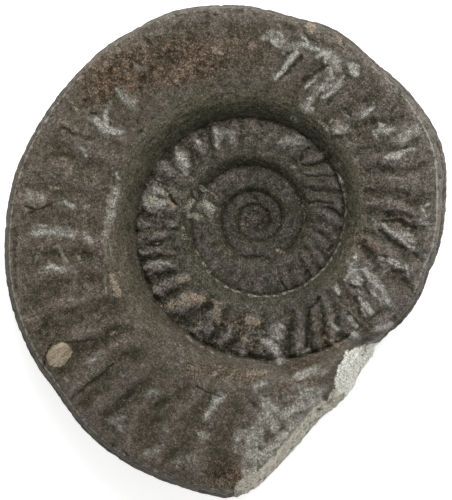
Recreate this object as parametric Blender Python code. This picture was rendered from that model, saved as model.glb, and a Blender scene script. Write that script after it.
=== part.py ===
"""Fossil ammonite: a stone mould of a flat, open-coiled shell with sickle ribs, a keel and a broken mouth.

The shell is first laid out about its coil axis, with the coil's pole at the origin, the mid-plane at z = 0
and the turns growing counterclockwise, angles counted from +X. Angles run on from turn to turn: the last turn
goes from -45 to 315 degrees, the one inside it from -405 to -45, and so on. It is then leaned over as it
rests on its underside, and its high spots are ground flat where they meet the floor at z = 0.
"""

import math

import bmesh
import bpy
import numpy as np
from mathutils import Matrix, Vector, noise

NAME = "ammonite"

# The coil, in metres. Each size is the one at 0 degrees, and grows this many times with every turn.
SEAM_RADIUS = 0.0318
COIL_GROWTH = 1.87
KEEL_RADIUS = 0.0686
KEEL_GROWTH = 1.71
HALF_THICKNESS = 0.01325
LAST_TURN_START = -45
INNER_TURNS = 4
CENTRE_HALF_THICKNESS = 0.0014

# The whorl's section. Heights are shares of its half thickness, widths shares of the way from seam to keel.
WALL_FOOT = 0.47
WALL_WIDTH = 0.26
WALL_CURVE = 2.4
CROWN_AT = 0.3
CROWN_FALL = 0.16
SHOULDER_ROUND = 0.0045
SHOULDER_DROP = 0.0015
VENTER_WIDTH = 0.0024

# The edge below the shoulder, down to the mid-plane: share of the venter's width still left to the outline,
# share of the shoulder's height. Whole, it has a side keel, a groove and the middle keel. Broken, it slopes.
KEELED_EDGE = (
    (1.0, 1.0), (0.77, 0.94), (0.57, 0.82), (0.46, 0.66), (0.50, 0.50), (0.66, 0.33), (0.56, 0.20),
    (0.16, 0.10), (0.0, 0.0),
)
BROKEN_EDGE = (
    (1.0, 1.0), (0.95, 0.88), (0.89, 0.75), (0.83, 0.62), (0.76, 0.49), (0.69, 0.36), (0.62, 0.24),
    (0.56, 0.12), (0.5, 0.0),
)

# Ribs: how many grooves have passed by an angle, how deep they are there, and by how many degrees they
# lean across the whorl: an average, and how much more of it at 0 degrees than at 90.
RIB_PACE = (
    (-1900, -162.0), (-405, -38.4), (-181, -18), (-158.7, -15), (-137.2, -13), (-119.2, -12), (-106.5, -11),
    (-85.2, -9), (-69.2, -8), (-59.6, -7), (-37.2, -4), (-15, -2), (53.5, 5), (151, 14.7), (193.5, 19),
    (326, 33.6),
)
RIB_DEPTH = (
    (-1200, 0.0001), (-720, 0.0002), (-500, 0.0004), (-360, 0.0007), (-180, 0.0010), (-90, 0.0013),
    (0, 0.0014), (50, 0.0011), (88, 0.0004), (145, 0.0005), (178, 0.0013), (230, 0.0018), (256, 0.0014),
    (275, 0.0004), (320, 0.0002),
)
UNDERSIDE_DEPTH = (
    (-1200, 1.0), (10, 1.0), (35, 0.35), (70, 0.45), (100, 2.2), (145, 2.2), (180, 0.75), (240, 0.7),
    (320, 1.0),
)
RIB_LEAN = (5.5, 2.5)
INNER_LEAN = (5.4, 5.4)
NARROW_GROOVES = 1.8
INNER_GROOVES = 1.35
UNEVEN_RIBS = 0.35
WORN_SIDE = (90, 180)
GROOVE_BEGINS = (0.14, 0.28)
GROOVE_ENDS = (0.78, 0.95)
SICKLE_FORWARD = (0.15, 0.75)
SICKLE_BACK = (0.78, 1.05)
SICKLE_BACK_SHARE = 0.55
OUTER_HALF = (0.5, 0.75)

# The outline's swellings and worn stretches: angle, spread in degrees, height in metres.
OUTLINE_SWELLS = (
    (-42, 4, -0.0010), (-17, 4, -0.0009), (22, 9, 0.0022), (54, 7, -0.0019), (80, 6, -0.0017),
    (112, 7, 0.0012), (131, 4, 0.0006), (170, 9, 0.0011), (197, 14, 0.0022), (221, 4, -0.0009),
    (236, 14, 0.0023),
)
WIDE_VENTER = (20, 14, 0.0013)

# The broken mouth: where it starts and ends, where it cuts the outline, and a fresh facet at its inner end.
BREAK_STARTS = (263.5, 267)
BREAK_ENDS = (311, 315)
BREAK_EDGE = (
    (266, 0.1016), (270, 0.0976), (275, 0.0903), (281, 0.0827), (287, 0.0765), (293, 0.0739), (299, 0.0709),
    (305, 0.0670), (316, 0.0632),
)
BREAK_SLOPE_WIDTH = 0.0050
BREAK_LOWER_WIDTH = 0.0006
BREAK_ROUGH_SPAN = 0.009
BREAK_ROUGHNESS = 0.0009
FACET_POINTS = ((0.0253, -0.0568, 0.020), (0.0376, -0.0449, 0.013), (0.0368, -0.0590, 0.006))
FACET_FROM = 262
BREAK_FADES = (303, 315)

# Worn, pitted ground on the last turn's upper side, by angle and radius.
PIT_COUNT = 26
PIT_ANGLES = (100, 152)
PIT_RADII = (0.050, 0.077)
PIT_SIZE = (0.0010, 0.0024)
PIT_DEPTH = (0.0004, 0.0010)
PIT_FLOOR = 0.3
PIT_SEED = 12

LUMP_SPAN = 0.016
LUMP_HEIGHT = 0.0005

# How it lies: the shell leans this far, its axis tipping this way, and this much is ground off below.
REST_LEAN = 2.4
REST_LEAN_TOWARDS = 124
GROUND_OFF = 0.0005

FLOOR_SLAB = (0.4, 0.4, 0.02)

# The fine grid, and how many faces are kept of it.
COLUMNS = 420
FLANK_ROWS = 112
EDGE_ROWS = 8
FACES_LEFT = 9000

STONE = (0.10, 0.085, 0.065, 1.0)


def clear_scene():
    for item in list(bpy.data.objects):
        bpy.data.objects.remove(item)


def grown(size, growth, angle):
    return size * growth ** (angle / 360)


def along(pairs, angle):
    """The value at each angle of a law given by a few (angle, value) pairs."""
    knots = np.array(pairs)
    return np.interp(angle, knots[:, 0], knots[:, 1])


def eased(start, end, value):
    """0 before start, 1 after end, and a smooth step between."""
    share = np.clip((value - start) / (end - start), 0, 1)
    return share * share * (3 - 2 * share)


def swell(bump, angle):
    centre, spread, height = bump
    return height * np.exp(-0.5 * ((angle - centre) / spread) ** 2)


def brokenness(angle):
    """0 where the venter is whole, 1 along the broken mouth."""
    return eased(*BREAK_STARTS, angle) * (1 - eased(*BREAK_ENDS, angle))


def outline_radius(angle):
    whole = grown(KEEL_RADIUS, KEEL_GROWTH, angle) + sum(swell(bump, angle) for bump in OUTLINE_SWELLS)
    return np.where(angle > BREAK_EDGE[0][0], np.minimum(along(BREAK_EDGE, angle), whole), whole)


def edge_width(angle, upper):
    """How far the shoulder lies inside the outline, on the upper side and on the underside."""
    whole = VENTER_WIDTH + swell(WIDE_VENTER, angle) * upper
    broken = np.where(upper, BREAK_SLOPE_WIDTH, BREAK_LOWER_WIDTH)
    share = brokenness(angle)
    return whole * (1 - share) + broken * share


def rib_grooves(angle, across, upper):
    """Depth of the sickle-shaped grooves between the ribs. across is 0 at the seam and 1 at the keel."""
    last_turn = angle > LAST_TURN_START
    worn_side = eased(*WORN_SIDE, angle)
    lean, swing = (np.where(last_turn, *pair) for pair in zip(RIB_LEAN, INNER_LEAN))
    lean = lean + swing * np.cos(np.radians(angle))
    bend = eased(*SICKLE_FORWARD, across) - SICKLE_BACK_SHARE * eased(*SICKLE_BACK, across)
    count = along(RIB_PACE, angle + lean * bend)
    narrow = np.where(last_turn, NARROW_GROOVES - (NARROW_GROOVES - 1) * worn_side, INNER_GROOVES)
    groove = (0.5 + 0.5 * np.cos(2 * math.pi * count)) ** narrow
    uneven = 1 - UNEVEN_RIBS * np.abs(np.sin(np.e * np.round(count)))
    begins = eased(*GROOVE_BEGINS, across - 0.1 * worn_side)
    ends = 1 - eased(*GROOVE_ENDS, across - 0.1 * worn_side)
    deeper_outside = 1 + 0.5 * eased(*OUTER_HALF, across) * ~last_turn
    depth = along(RIB_DEPTH, angle) * np.where(upper, 1, along(UNDERSIDE_DEPTH, angle))
    return depth * groove * uneven * begins * ends * deeper_outside


def whorl_height(angle, radius, upper):
    """Half thickness of the one turn that passes this angle, with its umbilical wall, crown and ribs."""
    seam = grown(SEAM_RADIUS, COIL_GROWTH, angle)
    keel = grown(KEEL_RADIUS, np.where(angle > 0, KEEL_GROWTH, COIL_GROWTH), angle)
    across = (radius - seam) / (keel - seam)
    wall = 1 - (1 - WALL_FOOT) * (1 - np.clip(across / WALL_WIDTH, 0, 1)) ** WALL_CURVE
    crown = 1 - CROWN_FALL * (np.clip(across - CROWN_AT, 0, 1) / (1 - CROWN_AT)) ** 2
    return grown(HALF_THICKNESS, COIL_GROWTH, angle) * wall * crown - rib_grooves(angle, across, upper)


def facet_height(x, y):
    """Height of the fresh fracture facet's plane above the mid-plane."""
    first, second, third = (np.array(point) for point in FACET_POINTS)
    normal = np.cross(second - first, third - first)
    return first[2] - (normal[0] * (x - first[0]) + normal[1] * (y - first[1])) / normal[2]


def coil_height(angle, radius, upper):
    """Half thickness of the whole coil: every later turn covers the outer part of the one before it."""
    x = radius * np.cos(np.radians(angle))
    y = radius * np.sin(np.radians(angle))
    height = np.zeros(radius.shape)
    for turn in range(INNER_TURNS, -1, -1):
        turn_angle = angle - 360 * turn
        top = whorl_height(turn_angle, radius, upper)
        if turn == 0:
            top = np.where(upper & (angle > FACET_FROM), np.minimum(top, facet_height(x, y)), top)
            top = height + (top - height) * (1 - eased(*BREAK_FADES, angle))
        starts = grown(SEAM_RADIUS, COIL_GROWTH, turn_angle)
        height = np.where(radius >= starts, np.maximum(height, top), height)
    return np.sqrt(height**2 + CENTRE_HALF_THICKNESS**2)


def pits(x, y):
    """Depth of the shallow pits in the worn ground."""
    chance = np.random.default_rng(PIT_SEED)
    depth = np.zeros(x.shape)
    for _ in range(PIT_COUNT):
        angle = math.radians(chance.uniform(*PIT_ANGLES))
        radius = chance.uniform(*PIT_RADII)
        size = chance.uniform(*PIT_SIZE)
        deep = chance.uniform(*PIT_DEPTH)
        away = np.hypot(x - radius * math.cos(angle), y - radius * math.sin(angle))
        depth = np.maximum(depth, deep * (1 - eased(PIT_FLOOR, 1, away / size)))
    return depth


def lumps(points, span, height):
    """Smooth unevenness of the stone, by place: lumps about this far apart and this high."""
    return np.array([noise.fractal(Vector(point) / span, 1.0, 2.0, 3) for point in points]) * height


def shell_points(directions):
    """Moves each point of a unit ball to the shell's surface. Its rings are rows from pole to keel."""
    rows = FLANK_ROWS + EDGE_ROWS
    angle = np.degrees(np.arctan2(directions[:, 1], directions[:, 0]))
    angle = np.where(angle < LAST_TURN_START, angle + 360, angle)
    upper = directions[:, 2] > -1e-6
    side = np.where(upper, 1, -1)
    row = np.round(np.degrees(np.arccos(np.clip(np.abs(directions[:, 2]), 0, 1))) / 90 * rows)
    outline = outline_radius(angle)
    width = edge_width(angle, upper)
    flank = np.minimum(row / FLANK_ROWS, 1)
    radius = flank * (outline - width)
    height = coil_height(angle, radius, upper)
    inside = outline - width - radius
    height = height - SHOULDER_DROP * (1 - np.clip(inside / SHOULDER_ROUND, 0, 1)) ** 2
    x = radius * np.cos(np.radians(angle))
    y = radius * np.sin(np.radians(angle))
    surface = np.stack([x, y, side * height], axis=1)
    height = height - pits(x, y) * upper + lumps(surface, LUMP_SPAN, LUMP_HEIGHT)

    edge = np.maximum(row - FLANK_ROWS, 0).astype(int)
    share = brokenness(angle)
    keeled = np.array(KEELED_EDGE)[edge]
    broken = np.array(BROKEN_EDGE)[edge]
    broken_out = np.where(upper, broken[:, 0], 1 - broken[:, 0]) * BREAK_SLOPE_WIDTH
    broken_out = np.where(upper, broken_out, broken_out + BREAK_LOWER_WIDTH * broken[:, 1])
    out = keeled[:, 0] * width * (1 - share) + broken_out * share
    radius = np.where(edge > 0, outline - out, radius)
    height = height * (keeled[:, 1] * (1 - share) + broken[:, 1] * share)
    x = radius * np.cos(np.radians(angle))
    y = radius * np.sin(np.radians(angle))
    points = np.stack([x, y, side * height], axis=1)
    rough = lumps(points, BREAK_ROUGH_SPAN, BREAK_ROUGHNESS) * share * (edge > 0)
    points[:, :2] *= (1 + rough / np.maximum(radius, SEAM_RADIUS))[:, None]
    return points


def shell_mesh():
    """A ball whose rings and columns take up the shell's surface."""
    mesh = bpy.data.meshes.new(NAME)
    ball = bmesh.new()
    bmesh.ops.create_uvsphere(ball, u_segments=COLUMNS, v_segments=2 * (FLANK_ROWS + EDGE_ROWS), radius=1)
    ball.to_mesh(mesh)
    ball.free()
    points = np.empty(len(mesh.vertices) * 3)
    mesh.vertices.foreach_get("co", points)
    mesh.vertices.foreach_set("co", shell_points(points.reshape(-1, 3)).ravel())
    mesh.update()
    return mesh


def thinned(mesh):
    """The same surface with far fewer faces, kept where it bends most."""
    item = bpy.data.objects.new(NAME, mesh)
    bpy.context.scene.collection.objects.link(item)
    thinner = item.modifiers.new("fewer faces", "DECIMATE")
    thinner.ratio = FACES_LEFT / sum(len(face.vertices) - 2 for face in mesh.polygons)
    thinner.use_collapse_triangulate = True
    result = bpy.data.meshes.new_from_object(item.evaluated_get(bpy.context.evaluated_depsgraph_get()))
    bpy.data.objects.remove(item)
    return result


def lay_down(mesh):
    """Leans the shell as it rests, with its box's middle over the origin and its high spots below z = 0."""
    towards = math.radians(REST_LEAN_TOWARDS)
    hinge = Vector((-math.sin(towards), math.cos(towards), 0))
    mesh.transform(Matrix.Rotation(math.radians(REST_LEAN), 4, hinge))
    points = np.empty(len(mesh.vertices) * 3)
    mesh.vertices.foreach_get("co", points)
    low = points.reshape(-1, 3).min(axis=0)
    high = points.reshape(-1, 3).max(axis=0)
    middle = (low + high) / 2
    mesh.transform(Matrix.Translation((-middle[0], -middle[1], -low[2] - GROUND_OFF)))


def floor_cutter(collection):
    """A slab whose top is the floor."""
    mesh = bpy.data.meshes.new("floor_cutter")
    slab = bmesh.new()
    bmesh.ops.create_cube(slab, size=1)
    slab.to_mesh(mesh)
    slab.free()
    cutter = bpy.data.objects.new("floor_cutter", mesh)
    cutter.scale = FLOOR_SLAB
    cutter.location = (0, 0, -FLOOR_SLAB[2] / 2)
    cutter.hide_render = True
    cutter.display_type = "WIRE"
    collection.objects.link(cutter)
    return cutter


def stone_material():
    material = bpy.data.materials.new("weathered_limestone")
    material.use_nodes = True
    shader = material.node_tree.nodes["Principled BSDF"]
    shader.inputs["Base Color"].default_value = STONE
    shader.inputs["Roughness"].default_value = 0.8
    shader.inputs["Metallic"].default_value = 0.0
    return material


def main():
    clear_scene()
    fossil = bpy.data.collections.new("fossil_ammonite")
    cutters = bpy.data.collections.new("cutters")
    bpy.context.scene.collection.children.link(fossil)
    bpy.context.scene.collection.children.link(cutters)
    mesh = thinned(shell_mesh())
    mesh.name = NAME
    lay_down(mesh)
    mesh.materials.append(stone_material())
    ammonite = bpy.data.objects.new(NAME, mesh)
    fossil.objects.link(ammonite)
    ground = ammonite.modifiers.new("ground flat", "BOOLEAN")
    ground.operation = "DIFFERENCE"
    ground.solver = "EXACT"
    ground.object = floor_cutter(cutters)


main()
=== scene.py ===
"""Looks of a fossil ammonite: weathered stone with a broken mouth, crusts and hollows, on a pale floor."""

import math

import bmesh
import bpy
import numpy as np
from mathutils import Matrix, Vector, noise


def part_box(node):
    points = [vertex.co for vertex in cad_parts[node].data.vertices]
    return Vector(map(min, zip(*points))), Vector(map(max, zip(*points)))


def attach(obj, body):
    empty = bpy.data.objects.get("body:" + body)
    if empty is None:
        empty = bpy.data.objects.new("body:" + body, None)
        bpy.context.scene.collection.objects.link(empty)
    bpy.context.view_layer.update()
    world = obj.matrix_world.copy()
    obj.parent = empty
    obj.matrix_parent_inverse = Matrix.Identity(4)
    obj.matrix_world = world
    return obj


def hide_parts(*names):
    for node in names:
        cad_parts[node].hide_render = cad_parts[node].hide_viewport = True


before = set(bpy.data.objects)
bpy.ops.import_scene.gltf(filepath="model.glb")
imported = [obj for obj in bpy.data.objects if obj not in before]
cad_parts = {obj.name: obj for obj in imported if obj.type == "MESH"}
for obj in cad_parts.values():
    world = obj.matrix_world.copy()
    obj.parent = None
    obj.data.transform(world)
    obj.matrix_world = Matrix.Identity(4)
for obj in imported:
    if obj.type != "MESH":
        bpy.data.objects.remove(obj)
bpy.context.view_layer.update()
NODE = "ammonite"
MM = 0.001

# The photograph: its size, where the coil's pole lies in it, and how much of the fossil a pixel covers.
PHOTO_WIDTH = 452
PHOTO_HEIGHT = 500
POLE_X = 257
POLE_Y = 220
FOSSIL_MIDDLE_X = 225.5
FOSSIL_MIDDLE_Y = 251.5
PIXEL = 0.366 * MM
FRAMING = 1.004

# The coil, in metres. Sizes are those at 0 degrees, and grow this many times with every turn.
SEAM_RADIUS = 0.0318
COIL_GROWTH = 1.87
KEEL_RADIUS = 0.0686
KEEL_GROWTH = 1.71
HALF_THICKNESS = 0.01325
LAST_TURN_START = -45
INNER_TURNS = 4
SEAMS_SEEN = 4
CENTRE_HALF_THICKNESS = 0.0014

# The whorl's section. Heights are shares of its half thickness, widths shares of the way from seam to keel.
WALL_FOOT = 0.47
WALL_WIDTH = 0.26
WALL_CURVE = 2.4
CROWN_AT = 0.3
CROWN_FALL = 0.16
SHOULDER_ROUND = 0.0045
SHOULDER_DROP = 0.0015
VENTER_WIDTH = 0.0024

# The edge below the shoulder, down to the mid-plane: share of the venter's width still left to the outline,
# share of the shoulder's height. Whole, it has a side keel, a groove and the middle keel. Broken, it slopes.
KEELED_EDGE = (
    (1.0, 1.0), (0.77, 0.94), (0.57, 0.82), (0.46, 0.66), (0.50, 0.50), (0.66, 0.33), (0.56, 0.20),
    (0.16, 0.10), (0.0, 0.0),
)
BROKEN_EDGE = (
    (1.0, 1.0), (0.95, 0.88), (0.89, 0.75), (0.83, 0.62), (0.76, 0.49), (0.69, 0.36), (0.62, 0.24),
    (0.56, 0.12), (0.5, 0.0),
)

# Ribs: how many grooves have passed by an angle, how deep they are there, and by how many degrees they
# lean across the whorl: an average, and how much more of it at 0 degrees than at 90.
RIB_PACE = (
    (-1900, -162), (-405, -38.4), (-181, -18), (-158.7, -15), (-137.2, -13), (-119.2, -12), (-106.5, -11),
    (-85.2, -9), (-69.2, -8), (-59.6, -7), (-37.2, -4), (-15, -2), (53.5, 5), (151, 14.7), (193.5, 19),
    (326, 33.6),
)
RIB_DEPTH = (
    (-1200, 0.0001), (-720, 0.0002), (-500, 0.0004), (-360, 0.0007), (-180, 0.0010), (-90, 0.0013),
    (0, 0.0014), (50, 0.0011), (88, 0.0004), (145, 0.0005), (178, 0.0013), (230, 0.0018), (256, 0.0014),
    (275, 0.0004), (320, 0.0002),
)
UNDERSIDE_DEPTH = (
    (-1200, 1.0), (10, 1.0), (35, 0.35), (70, 0.45), (100, 2.2), (145, 2.2), (180, 0.75), (240, 0.7),
    (320, 1.0),
)
RIB_LEAN = (5.5, 2.5)
INNER_LEAN = (5.4, 5.4)
NARROW_GROOVES = 1.8
INNER_GROOVES = 1.35
UNEVEN_RIBS = 0.35
WORN_SIDE = (90, 180)
GROOVE_BEGINS = (0.14, 0.28)
GROOVE_ENDS = (0.78, 0.95)
SICKLE_FORWARD = (0.15, 0.75)
SICKLE_BACK = (0.78, 1.05)
SICKLE_BACK_SHARE = 0.55
OUTER_HALF = (0.5, 0.75)

# The outline's swellings and worn stretches: angle, spread in degrees, height in metres.
OUTLINE_SWELLS = (
    (-42, 4, -0.0010), (-17, 4, -0.0009), (22, 9, 0.0022), (54, 7, -0.0019), (80, 6, -0.0017),
    (112, 7, 0.0012), (131, 4, 0.0006), (170, 9, 0.0011), (197, 14, 0.0022), (221, 4, -0.0009),
    (236, 14, 0.0023),
)
WIDE_VENTER = (20, 14, 0.0013)

# The broken mouth: where it starts and ends, where it cuts the outline, and a fresh facet at its inner end.
BREAK_STARTS = (263.5, 267)
BREAK_ENDS = (311, 315)
BREAK_EDGE = (
    (266, 0.1016), (270, 0.0976), (275, 0.0903), (281, 0.0827), (287, 0.0765), (293, 0.0739), (299, 0.0709),
    (305, 0.0670), (316, 0.0632),
)
BREAK_SLOPE_WIDTH = 0.0050
BREAK_LOWER_WIDTH = 0.0006
FACET_POINTS = ((0.0253, -0.0568, 0.020), (0.0376, -0.0449, 0.013), (0.0368, -0.0590, 0.006))
FACET_FROM = 262
BREAK_FADES = (303, 315)

# Worn, pitted ground on the last turn's upper side, by angle and radius.
PIT_COUNT = 26
PIT_ANGLES = (100, 152)
PIT_RADII = (0.050, 0.077)
PIT_SIZE = (0.0010, 0.0024)
PIT_DEPTH = (0.0004, 0.0010)
PIT_FLOOR = 0.3
PIT_SEED = 12

# How it lies: the shell leans this far, its axis tipping this way, and this much is ground off below.
REST_LEAN = 2.4
REST_LEAN_TOWARDS = 124
GROUND_OFF = 0.0005

# Unevenness, in millimetres. The flank's rows are height, how much higher on the stumps, size and octaves.
# The rows of the broken face, and of the strokes that stray by pixels, are height, size and octaves.
FLANK_LUMPS = ((0.5, 0, 16, 3), (0.16, 0.42, 5, 2), (0.12, 0.26, 2.2, 2), (0.1, 0.14, 1.1, 2))
BREAK_LUMPS = ((0.9, 9, 3), (0.8, 3, 3), (0.35, 1.2, 2))
STRAY_LUMPS = ((1.3, 3.2, 2), (0.9, 1.1, 1))

# How far marks stand out, in millimetres, where they are strongest.
RELIEF = {
    "centre": 0.45, "seam foot": -0.6, "seam lip": 0.35, "dark": -0.8, "crack": -0.35, "tan": 0.20,
    "stump": 1, "chalk": 0.22, "oval": 0.9, "oval's foot": -0.35, "rust": -0.9, "pock": -0.35,
}

# The fine grid, before it is thinned.
COLUMNS = 1150
UPPER_ROWS = 330
EDGE_ROWS = 20
LOWER_ROWS = 150
MOST_FACES = 194000

# Marks of the upper side, in the photograph's pixels: half width, strength, and x and y of each point.
CHALK = (
    (4, 0.75, 36, 234, 46, 232), (3.6, 0.7, 46, 232, 62, 233), (3, 0.7, 62, 234, 75, 236),
    (1.8, 0.6, 38, 227, 38, 236), (1.8, 0.6, 44, 228, 43, 236), (1.7, 0.6, 52, 228, 51, 235),
    (1.7, 0.6, 60, 229, 60, 236), (2, 0.6, 74, 231, 75, 239), (4.2, 0.65, 87, 233, 94, 242),
    (3, 0.7, 68, 203, 76, 207), (2.1, 0.5, 60, 203, 65, 204), (2.3, 0.55, 86, 207, 93, 206),
    (2.8, 0.95, 49, 268, 54, 266, 62, 269), (2.1, 0.6, 52, 263, 56, 265), (2.1, 0.7, 71, 299, 77, 298),
    (2, 0.85, 118, 175, 121, 179), (1.4, 0.8, 108, 287, 108, 292), (2.8, 0.7, 85, 149, 88, 155),
    (2.1, 0.5, 78, 144, 84, 149), (5.2, 0.9, 97, 120, 103, 126), (4.6, 0.85, 103, 126, 111, 131, 122, 133),
    (3, 0.9, 108, 112, 108, 124), (2.5, 0.55, 112, 104, 109, 112), (3.2, 0.7, 120, 90, 124, 100),
    (3, 0.6, 100, 130, 110, 136), (3, 0.3, 138, 68, 148, 70), (1.6, 0.9, 55, 110, 57, 108),
    (3.4, 0.6, 263, 40, 267, 38), (3.9, 0.75, 273, 41, 277, 46), (3.4, 0.6, 279, 34, 283, 38),
    (3, 0.75, 302, 44, 297, 52), (3.4, 0.95, 297, 54, 290, 62, 284, 70), (3.4, 1, 285, 69, 276, 79),
    (2.5, 0.5, 290, 48, 284, 54), (2.5, 0.8, 301, 36, 304, 40), (2.3, 0.8, 306, 38, 308, 44),
    (3.4, 0.9, 304, 46, 311, 48), (3, 0.8, 311, 50, 320, 51), (4.8, 0.85, 322, 54, 328, 57),
    (3.7, 0.8, 329, 54, 326, 62), (2.3, 0.8, 317, 58, 322, 57), (2.1, 0.7, 326, 70, 331, 70),
    (2.3, 0.8, 331, 72, 333, 79), (3, 0.7, 327, 80, 333, 80), (2.2, 0.7, 344, 77, 338, 86, 334, 92),
    (3, 0.85, 306, 88, 313, 82), (2.1, 0.7, 315, 78, 316, 80), (3, 0.9, 328, 96, 334, 93),
    (2.3, 0.85, 322, 99, 328, 97), (2.8, 0.6, 302, 107, 306, 104), (2.5, 0.55, 308, 113, 311, 110),
    (4.8, 1, 351, 67, 356, 68), (4.1, 1, 352, 73, 356, 75), (2.5, 0.95, 362, 117, 367, 115),
    (2.3, 0.95, 366, 113, 374, 108), (1.8, 0.8, 361, 111, 363, 116), (3.7, 0.75, 378, 131, 383, 128),
    (1.7, 0.9, 379, 124, 384, 126), (2.3, 0.7, 374, 132, 376, 138), (4.4, 0.95, 387, 157, 396, 156),
    (3.7, 0.9, 396, 156, 404, 152), (2.8, 0.8, 404, 152, 413, 150), (2.3, 0.5, 400, 131, 406, 124),
    (1.8, 0.6, 394, 178, 399, 179), (1.7, 0.8, 421, 206, 423, 212, 425, 220),
    (3.2, 0.95, 420, 222, 427, 224), (1.8, 0.6, 424, 207, 430, 203), (3.2, 0.9, 383, 225, 392, 233),
    (3.4, 0.95, 392, 233, 402, 240), (3, 0.9, 402, 240, 412, 248), (1.8, 0.6, 374, 225, 376, 231),
    (1.8, 0.5, 412, 248, 426, 258, 424, 268), (4.1, 0.95, 388, 260, 398, 264), (3, 0.8, 396, 266, 402, 268),
    (2, 0.9, 405, 266, 407, 275), (2, 0.5, 414, 276, 416, 281), (1.5, 0.6, 390, 268, 384, 272, 380, 277),
    (3.2, 0.9, 355, 256, 354, 262), (2.5, 0.7, 350, 264, 349, 272), (2.5, 0.8, 353, 270, 346, 278),
    (1.8, 0.8, 350, 268, 356, 274, 360, 286), (3, 0.75, 352, 280, 358, 284), (1.6, 0.7, 355, 269, 364, 268),
    (3.9, 1, 364, 269, 370, 278), (4.1, 1, 370, 278, 378, 288), (3.4, 0.95, 378, 288, 389, 302),
    (2.1, 0.7, 368, 284, 374, 294, 382, 302), (1.7, 0.7, 372, 272, 382, 286, 390, 298),
    (1.6, 0.6, 390, 300, 395, 305), (2.8, 0.85, 360, 297, 364, 306), (3.7, 0.9, 366, 303, 370, 312),
    (1.8, 0.6, 358, 290, 361, 295), (1.8, 0.8, 362, 308, 366, 315), (3.6, 1, 336, 287, 338, 291),
    (2.3, 0.6, 351, 314, 354, 322), (3.2, 0.8, 333, 325, 338, 328), (3.9, 0.85, 353, 333, 358, 337),
    (4.1, 0.75, 376, 328, 384, 326, 391, 323), (2.5, 0.7, 356, 347, 368, 343, 382, 335),
    (7.4, 1, 181, 158, 185, 165), (3.8, 0.9, 186, 168, 188, 173), (3.4, 0.95, 198.5, 142.5, 200.5, 143.5),
    (3, 0.6, 216, 130, 219, 134), (2.3, 0.6, 217, 136, 219, 149), (1.8, 0.6, 224, 132, 222, 142),
    (2.5, 0.6, 233, 131, 235, 136), (2.6, 0.6, 285, 146, 287, 144), (3.4, 0.5, 292, 140, 294, 139),
    (2.6, 0.5, 297, 143, 299, 144), (2.8, 0.7, 156, 188, 160, 192), (3, 0.7, 147, 204, 153, 207),
    (1.6, 0.4, 172, 226, 177, 224), (1.8, 0.6, 188, 208, 190, 212), (2.2, 0.5, 194, 216, 197, 217),
    (2.3, 0.4, 196, 193, 199, 196), (1.5, 0.9, 340, 180, 341, 182),
    (2.3, 0.6, 152, 264, 160, 262, 170, 264), (1.8, 0.7, 211, 330, 214, 327),
    (1.8, 0.7, 246, 338, 245, 343), (4.4, 0.9, 264, 340, 270, 342), (3.6, 0.7, 272, 336, 282, 336),
    (6.4, 1, 274, 348, 278, 353), (5.6, 0.95, 277, 354, 281, 359), (2.6, 0.7, 281, 324, 284, 328),
    (3.2, 0.9, 334, 326, 336, 328), (2.1, 0.6, 303, 352, 308, 348), (5.1, 0.56, 257, 384, 266, 382),
    (3, 0.45, 255, 384, 256, 390), (3.4, 0.45, 261, 395, 268, 396), (3.2, 0.45, 294, 385, 304, 386),
    (2.8, 0.45, 284, 397, 292, 394), (2.1, 0.6, 305, 388, 314, 389), (2.3, 0.38, 268, 404, 274, 412),
    (2.3, 0.64, 297, 418, 302, 417), (2.3, 0.52, 304, 412, 310, 416), (1.7, 0.6, 281, 413, 282, 417),
    (3, 0.68, 149, 394, 153, 389), (2.5, 0.68, 153, 389, 159, 391), (3.4, 0.45, 114, 419, 122, 424),
    (2.2, 0.6, 120, 418, 127, 415), (2.8, 0.52, 120, 426, 124, 429), (2.5, 0.45, 167, 424, 169, 429),
    (2.1, 0.38, 135, 405, 139, 404), (2.8, 0.7, 90, 361, 97, 358), (2.3, 0.5, 96, 354, 104, 350),
    (1.8, 0.5, 122, 373, 126, 373), (1.6, 0.6, 68, 378, 70, 379), (2.5, 0.38, 72, 392, 77, 385),
    (1.6, 0.5, 89, 378, 91, 379), (3, 0.38, 215, 394, 222, 390),
)
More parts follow.
